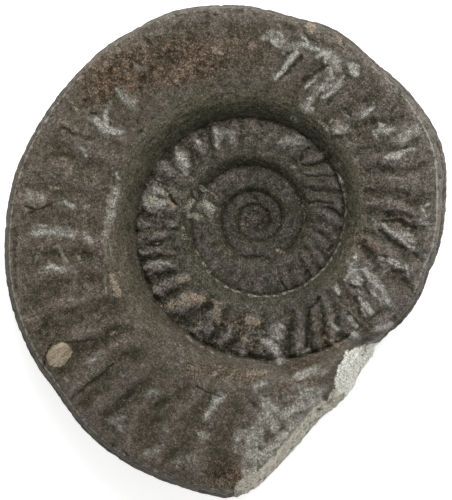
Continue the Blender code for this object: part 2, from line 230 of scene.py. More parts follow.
ASH = (
    (10, 0.65, 250, 470, 268, 462, 290, 444), (8, 0.85, 298, 438, 318, 418),
    (7, 0.7, 284, 412, 300, 404, 318, 400), (6, 0.6, 266, 404, 284, 412), (6, 0.5, 300, 394, 322, 388),
    (6, 0.3, 240, 430, 238, 446), (11, 0.7, 255, 430, 253, 446, 252, 456),
    (9, 0.8, 262, 453, 276, 445, 288, 434), (8, 0.75, 280, 441, 296, 427), (6, 0.75, 290, 421, 308, 416),
    (6, 0.6, 264, 414, 258, 424), (8, 0.55, 269, 411, 274, 424), (4, 0.6, 265, 399, 272, 408),
    (5, 0.65, 298, 375, 316, 368), (3.6, 0.5, 320, 372, 326, 370), (4.6, 0.6, 206, 415, 214, 404, 222, 394),
    (3.2, 0.5, 200, 430, 207, 433), (5.6, 0.5, 118, 190, 114, 204, 111, 222),
    (4.4, 0.3, 110, 225, 107, 242), (5, 0.4, 44, 270, 66, 268), (6, 0.35, 40, 228, 76, 232),
    (7, 0.45, 271, 36, 284, 44), (5, 0.35, 286, 48, 300, 46), (7, 0.6, 326, 54, 335, 62),
    (5, 0.4, 333, 63, 338, 72), (5, 0.5, 317, 90, 326, 88, 334, 86), (4, 0.45, 334, 90, 342, 80),
    (4.4, 0.55, 315, 96, 308, 106), (5, 0.55, 303, 108, 311, 110), (6, 0.65, 336, 130, 345, 129),
    (4, 0.6, 384, 132, 392, 129), (8, 0.45, 398, 142, 414, 130), (4, 0.45, 400, 232, 411, 239),
    (4, 0.5, 380, 258, 386, 264), (7, 0.45, 352, 262, 358, 280), (6, 0.5, 372, 284, 385, 300),
    (3.6, 0.6, 350, 317, 356, 326), (8, 0.6, 151, 197, 162, 202), (4, 0.3, 204, 203, 212, 214),
    (6, 0.4, 286, 142, 301, 140), (5, 0.4, 226, 132, 233, 140), (6, 0.5, 272, 328, 280, 335),
    (8, 0.2, 178, 461, 192, 456), (6, 0.2, 149, 452, 158, 447), (7, 0.35, 28, 194, 44, 200),
    (6, 0.4, 124, 94, 134, 106),
)
TAN = (
    (4.6, 0.95, 114, 275, 117, 284, 120, 294), (4, 0.7, 28, 316, 31, 319), (2.8, 0.7, 52, 187, 61, 188),
    (3.4, 0.65, 73, 103, 78, 111), (2.6, 0.5, 82, 104, 88, 104), (3.4, 0.5, 63, 121, 69, 124),
    (4.4, 0.85, 215, 51, 221, 54), (5.4, 0.85, 309, 27, 315, 31), (3.4, 0.75, 338, 38, 342, 45),
    (4, 0.45, 373, 73, 380, 75), (3.2, 0.5, 330, 121, 337, 122), (4, 0.5, 350, 132, 356, 140),
    (3, 0.6, 354, 280, 358, 286), (5, 0.55, 378, 328, 391, 324), (4.4, 0.95, 181, 280, 189, 277),
    (2.6, 0.5, 169, 285, 177, 286), (7, 0.9, 187, 296, 201, 300), (4, 0.6, 170, 304, 188, 302),
    (3.6, 0.8, 216, 302, 221, 314, 219, 322), (3.6, 0.6, 165, 305, 178, 303),
    (3.2, 0.5, 172, 310, 187, 312), (3.2, 0.6, 213, 300, 222, 304), (2.6, 0.45, 216, 310, 218, 322),
    (5.6, 0.95, 248, 320, 257, 321), (3, 0.5, 236, 328, 246, 326), (5, 0.5, 242, 336, 251, 341),
    (4, 0.6, 331, 339, 338, 345), (3, 0.5, 325, 336, 330, 340), (2.2, 0.75, 187, 335, 195, 341),
    (2.2, 0.6, 196, 342, 205, 347), (2.2, 0.5, 149, 326, 156, 332), (2.2, 0.5, 209, 349, 217, 353),
    (4, 0.6, 250, 372, 266, 370), (3, 0.6, 147, 206, 152, 211), (3.2, 0.9, 169, 200, 175, 208),
    (3, 0.5, 203, 204, 214, 209), (2.6, 0.5, 208, 190, 219, 198), (2.8, 0.6, 291, 166, 297, 168),
    (2.2, 0.5, 303, 204, 305, 218), (3, 0.5, 278, 250, 284, 252), (2.6, 0.4, 212, 250, 220, 250),
    (9, 0.35, 64, 168, 84, 180), (4, 0.45, 114, 332, 124, 333), (3.6, 0.45, 118, 341, 125, 345),
    (3, 0.5, 96, 178, 100, 182), (3.4, 0.4, 184, 470, 190, 474), (1.6, 0.6, 30, 170, 32, 173),
    (3, 0.45, 386, 232, 408, 228), (3.4, 0.4, 390, 204, 400, 203), (3, 0.4, 270, 415, 277, 414),
    (6, 0.3, 244, 222, 264, 216), (3, 0.4, 246, 214, 262, 226), (2.4, 0.45, 265, 206, 269, 208),
)
LICHEN = (
    (5, 0.5, 320, 124, 328, 130), (4, 0.5, 300, 124, 292, 117), (3.4, 0.7, 217, 132, 219, 148),
    (4, 0.7, 332, 402, 338, 396, 344, 391), (4.2, 1, 191, 215, 200, 216), (4, 0.8, 190, 207, 193, 201),
    (4.8, 1, 206, 203, 214, 209), (3.4, 0.8, 202, 187, 206, 190), (3.6, 0.6, 197, 197, 201, 200),
    (3.2, 0.8, 208, 214, 213, 213), (4.4, 0.9, 150, 208, 152, 198, 158, 191),
    (3.4, 0.8, 160, 190, 167, 194), (3.6, 0.8, 229, 131, 234, 134), (5, 0.4, 146, 196, 160, 190),
    (4, 0.5, 183, 226, 186, 240), (3, 0.4, 196, 250, 204, 262, 212, 272), (4, 0.35, 160, 246, 150, 236),
)
# Dark strokes, dented and darkened. Some are painted shadow: the lower sides of the second turn's stumps,
# the raised oval's shadow, and a strip just inside the left edge.
DENTS_AND_PAINTED_SHADOWS = (
    (3.4, 0.8, 386, 214, 398, 213, 409, 217), (2.6, 1, 383, 221, 396, 220, 408, 224),
    (3, 0.9, 404, 226, 414, 229), (2.6, 0.9, 380, 231, 391, 241, 405, 250), (5, 0.9, 363, 243, 370, 256),
    (4.4, 0.9, 374, 261, 384, 256), (4, 0.9, 376, 268, 384, 263), (3, 0.9, 391, 270, 402, 273),
    (4, 0.7, 403, 279, 410, 288), (3, 0.8, 415, 253, 423, 259), (2.8, 0.9, 351, 286, 359, 288),
    (4, 0.8, 363, 284, 371, 292), (3.6, 0.6, 355, 298, 361, 312), (3.4, 0.5, 340, 296, 346, 306),
    (4.4, 0.5, 366, 318, 380, 312), (4, 0.6, 376, 166, 392, 171), (3.4, 0.6, 396, 190, 408, 194),
    (4, 0.5, 366, 192, 380, 196), (3.4, 0.6, 344, 110, 350, 115), (4.4, 0.6, 352, 126, 374, 120),
    (3, 0.6, 333, 138, 342, 138), (2.4, 0.7, 303, 82, 316, 74, 326, 66),
    (1.6, 0.4, 306, 34, 311, 41, 318, 44), (3.4, 0.6, 336, 94, 328, 103),
    (2.6, 0.6, 280, 79, 292, 68, 302, 58), (4, 0.5, 284, 26, 294, 30), (5, 0.45, 168, 54, 176, 62),
    (4, 0.5, 142, 80, 150, 84), (4, 0.4, 196, 72, 206, 78), (3, 0.5, 146, 40, 152, 46),
    (4, 0.35, 218, 64, 228, 70), (2.6, 0.5, 64, 128, 80, 136, 96, 140), (3, 0.3, 56, 153, 76, 158),
    (3.4, 0.3, 48, 254, 64, 251), (3.6, 0.3, 64, 255, 92, 254), (2.2, 0.3, 50, 282, 76, 280),
    (3.6, 0.3, 48, 318, 62, 312, 86, 307), (3.4, 0.3, 42, 332, 52, 320), (2.2, 0.5, 74, 396, 90, 384),
    (2.6, 0.5, 90, 384, 108, 370, 118, 360), (2.4, 0.3, 118, 360, 130, 352),
    (4.6, 0.35, 108, 412, 120, 403, 134, 390, 142, 382), (4, 0.35, 157, 404, 170, 397),
    (4.6, 0.3, 164, 459, 176, 448), (2.2, 1, 47, 366, 49, 353, 54, 344), (3.6, 0.7, 257, 440, 262, 448),
    (2.6, 0.5, 253, 452, 260, 455), (3, 0.6, 283, 428, 292, 430), (3, 0.6, 300, 410, 306, 413),
    (1.4, 0.9, 263, 394, 267, 395), (1.2, 0.8, 274, 348, 275, 350), (4.4, 1, 157, 297, 166, 305),
    (4.4, 1, 173, 314, 182, 321, 192, 324), (4, 1, 203, 333, 208, 342, 217, 346),
    (4, 1, 226, 345, 236, 353), (3.6, 1, 250, 354, 268, 359), (3.4, 0.9, 286, 354, 296, 357),
    (2.4, 0.7, 262, 342, 265, 350), (3, 0.9, 145, 273, 150, 282), (3, 0.8, 139, 255, 145, 262),
    (3, 0.7, 206, 309, 214, 304), (2.8, 0.7, 217, 325, 225, 330), (2.4, 0.5, 154, 254, 162, 256),
    (3.2, 0.6, 155, 276, 170, 273), (3, 0.7, 167, 150, 174, 156), (3.2, 0.6, 183, 134, 189, 139),
    (3.2, 0.6, 272, 119, 281, 126), (3.4, 0.6, 223, 205, 228, 212), (3.4, 0.6, 249, 192, 257, 199),
    (2.6, 0.6, 160, 197, 168, 200), (1.8, 0.7, 174, 229, 181, 229), (2.6, 0.5, 306, 188, 316, 189),
    (3, 0.6, 144, 186, 150, 192), (2.4, 0.5, 246, 257, 264, 256), (1.6, 0.5, 168, 188, 172, 196),
    (2.6, 0.4, 19, 228, 17, 258, 19, 290), (4, 0.9, 158, 300, 166, 299, 176, 294),
    (4.4, 1, 178, 320, 190, 318, 202, 311), (4.2, 1, 206, 343, 214, 336, 222, 326),
    (3.2, 0.8, 146, 278, 156, 277, 172, 275), (3.2, 0.6, 146, 257, 160, 258, 174, 257),
    (3, 0.4, 143, 245, 158, 246), (3.2, 0.7, 229, 350, 237, 340), (1.8, 1, 164, 187, 170, 193, 176, 204),
    (3.4, 0.7, 159, 197, 167, 201), (3, 0.5, 142, 215, 152, 221, 162, 222), (3, 0.8, 176, 146, 170, 160),
    (2.8, 0.7, 191, 150, 195, 166), (2.8, 0.7, 209, 128, 211, 148), (3.2, 0.6, 226, 130, 228, 140),
    (3.2, 0.3, 264, 150, 276, 146), (1.8, 0.8, 301, 160, 303, 153, 310, 148),
    (1.8, 0.9, 303, 165, 314, 165, 326, 161, 331, 157), (1.6, 0.7, 320, 148, 328, 152, 331, 157),
    (1.6, 0.5, 304, 175, 318, 176, 338, 176), (3.4, 0.7, 316, 189, 328, 190, 340, 192),
    (1.8, 0.5, 310, 203, 320, 202, 332, 204), (2.2, 0.7, 328, 207, 336, 212, 341, 216),
    (1.8, 0.4, 309, 226, 322, 234, 332, 242), (1.8, 0.9, 320, 297, 311, 308, 307, 322, 306, 346),
    (1.6, 0.9, 282, 282, 287, 288), (1.6, 0.9, 306, 274, 308, 270, 312, 276), (2, 0.9, 328, 250, 333, 246),
    (3.6, 0.9, 289, 330, 288, 352),
)
CRACKS = (
    (1.4, 1, 28, 206, 38, 210, 46, 208, 52, 205), (1.6, 1, 32, 213, 38, 211),
    (1.4, 0.8, 197, 384, 208, 390, 222, 394), (1.3, 0.8, 60, 340, 80, 341, 100, 338),
    (1.4, 0.8, 300, 132, 308, 138, 320, 140), (1.3, 0.6, 102, 336, 112, 350),
    (1.3, 0.7, 246, 394, 256, 404), (1.4, 0.7, 262, 456, 266, 459),
    (1.4, 0.8, 152, 176, 160, 182, 170, 186),
)
FINE_SCRATCHES = (
    (1.3, 0.9, 62, 248, 66, 255, 70, 263), (1.3, 0.9, 79, 254, 82, 258, 84, 262),
    (1.3, 0.6, 56, 247, 62, 244), (1.3, 0.6, 40, 256, 38, 262), (1.3, 0.7, 107, 276, 107, 284),
    (1.3, 0.6, 113, 246, 113, 256), (1.3, 0.6, 126, 318, 132, 323), (1.3, 0.5, 138, 304, 142, 312),
    (1.3, 0.6, 86, 216, 84, 213), (1.3, 0.6, 76, 280, 78, 287), (1.4, 0.7, 88, 284, 91, 288),
    (1.3, 0.5, 97, 314, 104, 318),
)

# Raised stumps of the second turn's ribs: half width in pixels, height in millimetres, and the points.
STUMPS = (
    (6.5, 0.9, 143, 234, 165, 235), (3.5, 0.7, 143, 252, 174, 252), (6, 1.1, 147, 266, 176, 268),
    (8, 1.3, 156, 291, 170, 284, 186, 279), (10, 1.7, 170, 309, 186, 303, 202, 298),
    (8, 1.3, 199, 331, 211, 320, 221, 306), (7, 0.9, 222, 343, 234, 328), (7, 1, 247, 342, 250, 319),
    (7, 1, 275, 351, 278, 326), (8, 0.9, 299, 348, 300, 316), (6, 0.8, 318, 344, 318, 318),
    (6, 0.7, 331, 340, 329, 312), (12, 1.4, 155, 204, 158, 196), (7, 0.8, 165, 168, 172, 172),
    (8, 1, 181, 157, 187, 166), (6, 0.8, 199, 144, 202, 152), (6, 0.8, 218, 131, 219, 145),
    (6, 0.7, 236, 128, 236, 142), (8, 0.5, 258, 124, 258, 140), (7, 0.5, 282, 127, 278, 142),
    (8, 0.8, 298, 137, 290, 150), (8, 0.8, 308, 158, 322, 155), (6, 0.6, 308, 170, 336, 168),
    (7, 0.8, 308, 183, 338, 182), (6, 0.7, 310, 197, 342, 197), (8, 0.8, 312, 212, 338, 224),
    (8, 0.7, 196, 210, 210, 208),
)

# A raised oval of another stone on the left flank, and the brown, pitted ground at the top left.
OVAL_AT = (62, 353)
OVAL_RADII = (13.4, 10.2)
OVAL_TURN = -42
RUST = (
    (34, 0.9, 104, 84, 150, 66, 200, 58), (15, 0.9, 218, 470, 236, 474), (28, 0.5, 220, 52, 256, 46),
    (5, 0.5, 27, 300, 34, 330), (10, 0.4, 238, 322, 252, 344), (8, 0.6, 292, 366, 318, 356),
    (8, 0.5, 318, 318, 326, 338), (7, 0.5, 352, 236, 376, 250), (8, 0.4, 360, 130, 372, 142),
    (6, 0.5, 284, 386, 320, 380), (13, 0.5, 192, 366, 250, 374), (75, 0.24, 60, 160, 62, 250, 80, 340),
    (50, 0.16, 150, 420, 230, 440),
)

# The fresh fracture facet, the paler band along the break, and the dark smooth wedge above the facet.
FRESH = (
    (346, 350), (372, 343), (384, 340), (376, 366), (362, 391), (348, 396), (336, 388), (334, 376),
    (340, 362),
)
BREAK_BAND = (
    (11, 1, 244, 484, 262, 474, 286, 458), (9, 0.9, 286, 456, 306, 434, 322, 418),
    (6, 0.8, 322, 416, 346, 392),
)
WEDGE = ((5.5, 1, 352, 341, 364, 337, 379, 334),)

# How large a seam's lip and foot are, how light the lip is, and how deep the foot is and how dark it is
# painted, by running angle.
SEAM_SIZE = ((-1100, 0.4), (-720, 0.5), (-360, 0.8), (0, 1.0))
LIP_LIGHT = (
    (-400, 0), (-378, 0.5), (-335, 0.55), (-318, 0), (-150, 0.1), (-120, 0.8), (22, 0.85), (42, 0.1),
    (150, 0.1), (190, 0.3), (250, 0.35), (300, 0.5),
)
# The foot's darkness is painted shadow, strongest at the top of each turn, where the turn outside shades it.
SEAM_FOOT_DEPTH_AND_PAINTED_SHADOW = (
    (-1100, 0.3), (-950, 0.8), (-780, 0.4), (-660, 0.6), (-630, 1.2), (-540, 0.7), (-450, 0.25),
    (-340, 0.6), (-270, 1.1), (-190, 0.8), (-140, 0.5), (-20, 0.8), (60, 0.8), (90, 1), (180, 1),
    (260, 0.9),
)

# Stretches round the coil where a shade or the stumps are strong: weight, middle angle and spread. The
# umbilical wall's painted shade is strongest at the top, where the wall faces away from the light.
WALL_PAINTED_SHADE = ((0.8, 98, 38), (0.4, 0, 28), (0.25, 190, 35))
PALE_SHOULDER = ((0.6, 12, 24), (0.35, 190, 45))
DIM_FLANK = ((0.7, 243, 32), (0.7, 60, 48))
STUMPY_TURN = ((0.8, -125, 55), (0.4, -225, 40))

# The ground's colour by its tone: the two ends come first. All colours are linear.
GROUND_RAMP = (
    (0.0, (0.009, 0.009, 0.0065)), (1.0, (0.220, 0.193, 0.155)), (0.22, (0.020, 0.0195, 0.0142)),
    (0.5, (0.052, 0.046, 0.036)), (0.75, (0.100, 0.087, 0.070)),
)

# What that colour is multiplied by: in its darks, in its pales on smooth and on inner ground, in dark and in
# pale mottles, on brown ground, between ribs, in the umbilical wall, and everywhere.
TINTS = {
    "dark": (1.04, 0.99, 0.68), "smooth": (1.02, 0.99, 1.0), "inner": (0.965, 1.0, 1.12),
    "dark mottles": (0.985, 1.005, 0.95), "pale mottles": (1.02, 0.99, 1.03), "rust": (1.36, 0.91, 0.68),
    "ribs": (0.96, 1.0, 0.74), "wall": (0.965, 1.0, 0.74), "all": (1.11, 1.13, 1.15),
}

# Colours laid over the ground: specks, scratches and lines are plain, crusts have a dark and a pale end.
PLAIN = {
    "dark fleck": (0.012, 0.012, 0.009), "pale fleck": (0.24, 0.21, 0.155), "scratch": (0.20, 0.185, 0.15),
    "long scratch": (0.24, 0.22, 0.17), "moss": (0.120, 0.124, 0.082), "pale line": (0.27, 0.265, 0.22),
    "facet fleck": (0.16, 0.15, 0.12), "crack": (0.010, 0.010, 0.008),
}
CRUSTS = {
    "ash": ((0.12, 0.115, 0.096), (0.43, 0.41, 0.35)),
    "tan": ((0.065, 0.049, 0.035), (0.33, 0.26, 0.185)),
    "lichen": ((0.040, 0.041, 0.029), (0.34, 0.33, 0.25)),
    "thin chalk": ((0.075, 0.072, 0.059), (0.19, 0.183, 0.155)),
    "chalk": ((0.085, 0.082, 0.068), (0.455, 0.435, 0.375)),
    "oval": ((0.09, 0.067, 0.042), (0.36, 0.295, 0.21)),
    "break": ((0.24, 0.22, 0.162), (0.64, 0.61, 0.492)),
    "wedge": ((0.030, 0.028, 0.025), (0.080, 0.073, 0.062)),
    "facet stain": ((0.15, 0.142, 0.108), (0.44, 0.43, 0.37)),
}
FACET_PALE = (0.88, 0.86, 0.76)

# The coil's pole in the solid's frame, in millimetres.
POLE_PLACE = (11.5, 11.5, 0)

# The studio, in metres: a white world, one soft box, a floor that glows a little, and the camera above.
FLOOR_HALF_SIZE = 4
FLOOR_LOOK = {
    "Base Color": (0.8, 0.8, 0.8, 1), "Roughness": 0.9, "Specular IOR Level": 0.1,
    "Emission Color": (1, 1, 1, 1), "Emission Strength": 0.62,
}
WORLD_LOOK = {"Color": (1, 1, 1, 1), "Strength": 0.55}
STONE_SHINE = 0.15
CAMERA_HEIGHT = 3.0
AIM_HEIGHT = 0.02
SENSOR_WIDTH = 36


def grown(size, growth, angle):
    return size * growth ** (angle / 360)


def along(pairs, angle):
    """The value at each angle of a law given by a few (angle, value) pairs."""
    knots = np.array(pairs)
    return np.interp(angle, knots[:, 0], knots[:, 1])


def eased(start, end, value):
    """0 before start, 1 after end, and a smooth step between."""
    share = np.clip((value - start) / (end - start), 0, 1)
    return share * share * (3 - 2 * share)


def bump(middle, spread, value):
    """A smooth hill of height 1 at the middle."""
    return np.exp(-0.5 * ((value - middle) / spread) ** 2)


def stretches(hills, angle):
    """The sum of smooth hills, each given by its weight, middle and spread."""
    return sum(weight * bump(middle, spread, angle) for weight, middle, spread in hills)


def lumps(points, span, octaves=3):
    """Smooth unevenness of about -1 to 1, by place, with lumps about this far apart."""
    return np.array([noise.fractal(point, 1.0, 2.0, octaves) for point in (points / span).tolist()])


def layered(points, layers):
    """Lumps of several sizes on top of each other."""
    return sum(height * lumps(points, size * MM, octaves) for height, size, octaves in layers)


def around(angle, radius, height):
    """Points from their angle, distance from the coil's axis and height above its mid-plane."""
    return np.stack([radius * np.cos(np.radians(angle)), radius * np.sin(np.radians(angle)), height], axis=1)


def brokenness(angle):
    """0 where the venter is whole, 1 along the broken mouth."""
    return eased(*BREAK_STARTS, angle) * (1 - eased(*BREAK_ENDS, angle))


def outline_radius(angle):
    whole = grown(KEEL_RADIUS, KEEL_GROWTH, angle)
    whole = whole + sum(height * bump(middle, spread, angle) for middle, spread, height in OUTLINE_SWELLS)
    return np.where(angle > BREAK_EDGE[0][0], np.minimum(along(BREAK_EDGE, angle), whole), whole)


def edge_width(angle, upper):
    """How far the shoulder lies inside the outline, on the upper side and on the underside."""
    middle, spread, more = WIDE_VENTER
    whole = VENTER_WIDTH + more * bump(middle, spread, angle) * upper
    broken = np.where(upper, BREAK_SLOPE_WIDTH, BREAK_LOWER_WIDTH)
    share = brokenness(angle)
    return whole * (1 - share) + broken * share


def across_whorl(angle, radius):
    """0 at the whorl's seam, 1 at its keel."""
    seam = grown(SEAM_RADIUS, COIL_GROWTH, angle)
    keel = grown(KEEL_RADIUS, np.where(angle > 0, KEEL_GROWTH, COIL_GROWTH), angle)
    return (radius - seam) / (keel - seam)


def rib_grooves(angle, across, upper, wander):
    """Depth of the sickle-shaped grooves between the ribs. Wander shifts them a little here and there."""
    last_turn = angle > LAST_TURN_START
    worn_side = eased(*WORN_SIDE, angle)
    lean, swing = (np.where(last_turn, *pair) for pair in zip(RIB_LEAN, INNER_LEAN))
    lean = lean + swing * np.cos(np.radians(angle))
    bend = eased(*SICKLE_FORWARD, across) - SICKLE_BACK_SHARE * eased(*SICKLE_BACK, across)
    count = along(RIB_PACE, angle + lean * bend) + wander
    narrow = np.where(last_turn, NARROW_GROOVES - (NARROW_GROOVES - 1) * worn_side, INNER_GROOVES)
    groove = (0.5 + 0.5 * np.cos(2 * math.pi * count)) ** narrow
    uneven = 1 - UNEVEN_RIBS * np.abs(np.sin(np.e * np.round(count)))
    begins = eased(*GROOVE_BEGINS, across - 0.1 * worn_side)
    ends = 1 - eased(*GROOVE_ENDS, across - 0.1 * worn_side)
    deeper_outside = 1 + 0.5 * eased(*OUTER_HALF, across) * ~last_turn
    depth = along(RIB_DEPTH, angle) * np.where(upper, 1, along(UNDERSIDE_DEPTH, angle))
    return depth * groove * uneven * begins * ends * deeper_outside


def whorl_height(angle, radius, upper, wander, wear):
    """Half thickness of the one turn that passes this angle, with its umbilical wall, crown and ribs."""
    across = across_whorl(angle, radius)
    wall = 1 - (1 - WALL_FOOT) * (1 - np.clip(across / WALL_WIDTH, 0, 1)) ** WALL_CURVE
    crown = 1 - CROWN_FALL * (np.clip(across - CROWN_AT, 0, 1) / (1 - CROWN_AT)) ** 2
    half_thickness = grown(HALF_THICKNESS, COIL_GROWTH, angle)
    return half_thickness * wall * crown - rib_grooves(angle, across, upper, wander) * wear


def facet_height(x, y):
    """Height of the fresh fracture facet's plane above the mid-plane."""
    first, second, third = (np.array(point) for point in FACET_POINTS)
    normal = np.cross(second - first, third - first)
    return first[2] - (normal[0] * (x - first[0]) + normal[1] * (y - first[1])) / normal[2]


def coil_height(angle, radius, upper, wander, wear):
    """Half thickness of the whole coil: every later turn covers the outer part of the one before it."""
    x = radius * np.cos(np.radians(angle))
    y = radius * np.sin(np.radians(angle))
    height = np.zeros(radius.shape)
    for turn in range(INNER_TURNS, -1, -1):
        turn_angle = angle - 360 * turn
        top = whorl_height(turn_angle, radius, upper, wander, wear)
        if turn == 0:
            top = np.where(upper & (angle > FACET_FROM), np.minimum(top, facet_height(x, y)), top)
            top = height + (top - height) * (1 - eased(*BREAK_FADES, angle))
        starts = grown(SEAM_RADIUS, COIL_GROWTH, turn_angle)
        height = np.where(radius >= starts, np.maximum(height, top), height)
    return np.sqrt(height**2 + CENTRE_HALF_THICKNESS**2)


def seen_angle(angle, radius):
    """The running angle of the turn that lies open at a place."""
    seen = angle - 360 * INNER_TURNS
    for turn in range(INNER_TURNS - 1, -1, -1):
        turn_angle = angle - 360 * turn
        seen = np.where(radius >= grown(SEAM_RADIUS, COIL_GROWTH, turn_angle), turn_angle, seen)
    return seen


def rib_wander(points):
    """How far, in ribs, the grooves stray from their even pace."""
    return 0.16 * lumps(points * (1, 1, 0), 11 * MM, 2)


def seam_distance(angle, radius):
    """How far outside the nearest seam a place lies, and that seam's running angle there."""
    nearest = np.full(radius.shape, 1.0)
    running = np.zeros(radius.shape)
    for turn in range(SEAMS_SEEN):
        away = radius - grown(SEAM_RADIUS, COIL_GROWTH, angle - 360 * turn)
        closer = np.abs(away) < np.abs(nearest)
        nearest = np.where(closer, away, nearest)
        running = np.where(closer, angle - 360 * turn, running)
    return nearest, running


def pits(x, y):
    """Depth of the shallow pits in the worn ground."""
    chance = np.random.default_rng(PIT_SEED)
    depth = np.zeros(x.shape)
    for _ in range(PIT_COUNT):
        angle = math.radians(chance.uniform(*PIT_ANGLES))
        radius = chance.uniform(*PIT_RADII)
        size = chance.uniform(*PIT_SIZE)
        deep = chance.uniform(*PIT_DEPTH)
        away = np.hypot(x - radius * math.cos(angle), y - radius * math.sin(angle))
        depth = np.maximum(depth, deep * (1 - eased(PIT_FLOOR, 1, away / size)))
    return depth


def lean_matrix():
    towards = math.radians(REST_LEAN_TOWARDS)
    return Matrix.Rotation(math.radians(REST_LEAN), 4, Vector((-math.sin(towards), math.cos(towards), 0)))


def photo_place(points):
    """Where the shell's points appear in the photograph, in pixels."""
    turned = points @ np.array(lean_matrix())[:3, :3].T
    return np.stack([POLE_X + turned[:, 0] / PIXEL, POLE_Y - turned[:, 1] / PIXEL], axis=1)


def stroke_field(places, strokes, upper):
    """Each stroke's strength along its middle, falling to 0 at its half width, and 0 on the underside."""
    field = np.zeros(len(places))
    for half_width, strength, *numbers in strokes:
        stops = np.array(numbers, float).reshape(-1, 2)
        for start, end in zip(stops, stops[1:]):
            near = upper
            for axis in (0, 1):
                near = near & (places[:, axis] > min(start[axis], end[axis]) - half_width)
                near = near & (places[:, axis] < max(start[axis], end[axis]) + half_width)
            spots = places[near] - start
            step = end - start
            share = np.clip(spots @ step / (step @ step), 0, 1)
            away = np.hypot(*(spots - share[:, None] * step).T)
            field[near] = np.maximum(field[near], strength * (1 - (away / half_width) ** 2).clip(0, 1))
    return field


def strayed(places, points):
    """Places moved a little here and there, so that a stroke drawn from them gets an uneven shape."""
    return places + np.stack([layered(points + shift, STRAY_LUMPS) for shift in (0.3, 0.6)], axis=1)


def inside_field(places, corners):
    """About 1 inside a convex outline, 0 outside it, with an edge six pixels wide."""
    corners = np.array(corners, float)
    depth = np.full(len(places), 99.0)
    for start, end in zip(corners, np.roll(corners, -1, axis=0)):
        step = end - start
        outward = np.array([step[1], -step[0]]) / np.hypot(*step)
        if (corners.mean(axis=0) - start) @ outward > 0:
            outward = -outward
        depth = np.minimum(depth, -((places - start) @ outward))
    return eased(-3, 3, depth)


def oval_field(places, upper):
    """1 at the middle of the raised oval, 0 at its rim."""
    turn = math.radians(OVAL_TURN)
    away = places - OVAL_AT
    across = away @ (math.cos(turn), math.sin(turn)) / OVAL_RADII[0]
    over = away @ (-math.sin(turn), math.cos(turn)) / OVAL_RADII[1]
    return (1 - np.abs(across) ** 3 - np.abs(over) ** 3).clip(0, 1) * upper


def ruggedness(angle, radius):
    """How far the second turn's ribs are rough stumps: about 1 at the roughest, 0 on smooth ground."""
    seen = seen_angle(angle, radius)
    second_turn = (seen < LAST_TURN_START) & (seen > LAST_TURN_START - 360)
    stumps = eased(0.30, 0.42, across_whorl(seen, radius)) * second_turn
    return stumps * (0.2 + stretches(STUMPY_TURN, seen))


def ragged_seams(points, angle, radius):
    """As seam_distance, but drawn unevenly, and how strongly the line shows from place to place."""
    away, running = seam_distance(angle, radius)
    away = away + 0.35 * MM * lumps(points, 1.6 * MM, 2)
    return away, running, (0.8 + 0.7 * lumps(points, 2.4 * MM, 2)).clip(0.2, 1.3)


def weathering(points, angle, radius, upper):
    """How far the flank stands out from its worn shape, from the large lumps down to cracks and chips."""
    places = strayed(photo_place(points), points)
    away, running, uneven = ragged_seams(points, angle, radius)
    rugged = ruggedness(angle, radius)
    relief = RELIEF["centre"] * eased(9 * MM, 6 * MM, radius) * lumps(points + 0.7, 1.7 * MM, 2)
    for height, more, size, octaves in FLANK_LUMPS:
        relief += (height + more * rugged) * lumps(points, size * MM, octaves)
    foot = RELIEF["seam foot"] * along(SEAM_FOOT_DEPTH_AND_PAINTED_SHADOW, running) * bump(-0.15 * MM, 0.33 * MM, away) * uneven
    lip = RELIEF["seam lip"] * along(LIP_LIGHT, running) * bump(0.70 * MM, 0.35 * MM, away)
    relief += along(SEAM_SIZE, running) * (foot + lip)
    for name, strokes in (("dark", DENTS_AND_PAINTED_SHADOWS), ("crack", CRACKS), ("tan", TAN), ("stump", STUMPS)):
        relief += RELIEF[name] * stroke_field(places, strokes, upper)
    relief += RELIEF["chalk"] * stroke_field(places, CHALK, upper) * (0.6 + lumps(points, 1.1 * MM, 2))
    oval = oval_field(places, upper)
    relief += RELIEF["oval"] * np.sqrt(oval) + RELIEF["oval's foot"] * (oval > 0)
    pitted = (lumps(points, 2.6 * MM, 2) - 0.12).clip(0, 1)
    relief += RELIEF["rust"] * stroke_field(places, RUST, upper) * pitted
    relief += RELIEF["pock"] * (lumps(points + 0.5, 1.6 * MM, 1) - 0.34).clip(0, 1)
    return relief * MM


def ring_rows():
    """Side, share of the way from pole to shoulder, and from shoulder to keel, of every ring of the grid."""
    upper_flank = np.arange(1, UPPER_ROWS + 1) / UPPER_ROWS
    lower_flank = np.arange(LOWER_ROWS, 0, -1) / LOWER_ROWS
    down = np.arange(1, EDGE_ROWS + 1) / EDGE_ROWS
    back = np.arange(EDGE_ROWS - 1, 0, -1) / EDGE_ROWS
    upper = np.repeat((True, False), (len(upper_flank) + len(down), len(back) + len(lower_flank)))
    flank = np.concatenate([upper_flank, np.ones(len(down) + len(back)), lower_flank])
    edge = np.concatenate([np.zeros(len(upper_flank)), down, back, np.zeros(len(lower_flank))])
    return upper, flank, edge


def edge_profile(edge, profile):
    """A profile's two columns at each share of the way down the edge."""
    steps = np.linspace(0, 1, len(profile))
    return (np.interp(edge, steps, column) for column in np.array(profile).T)


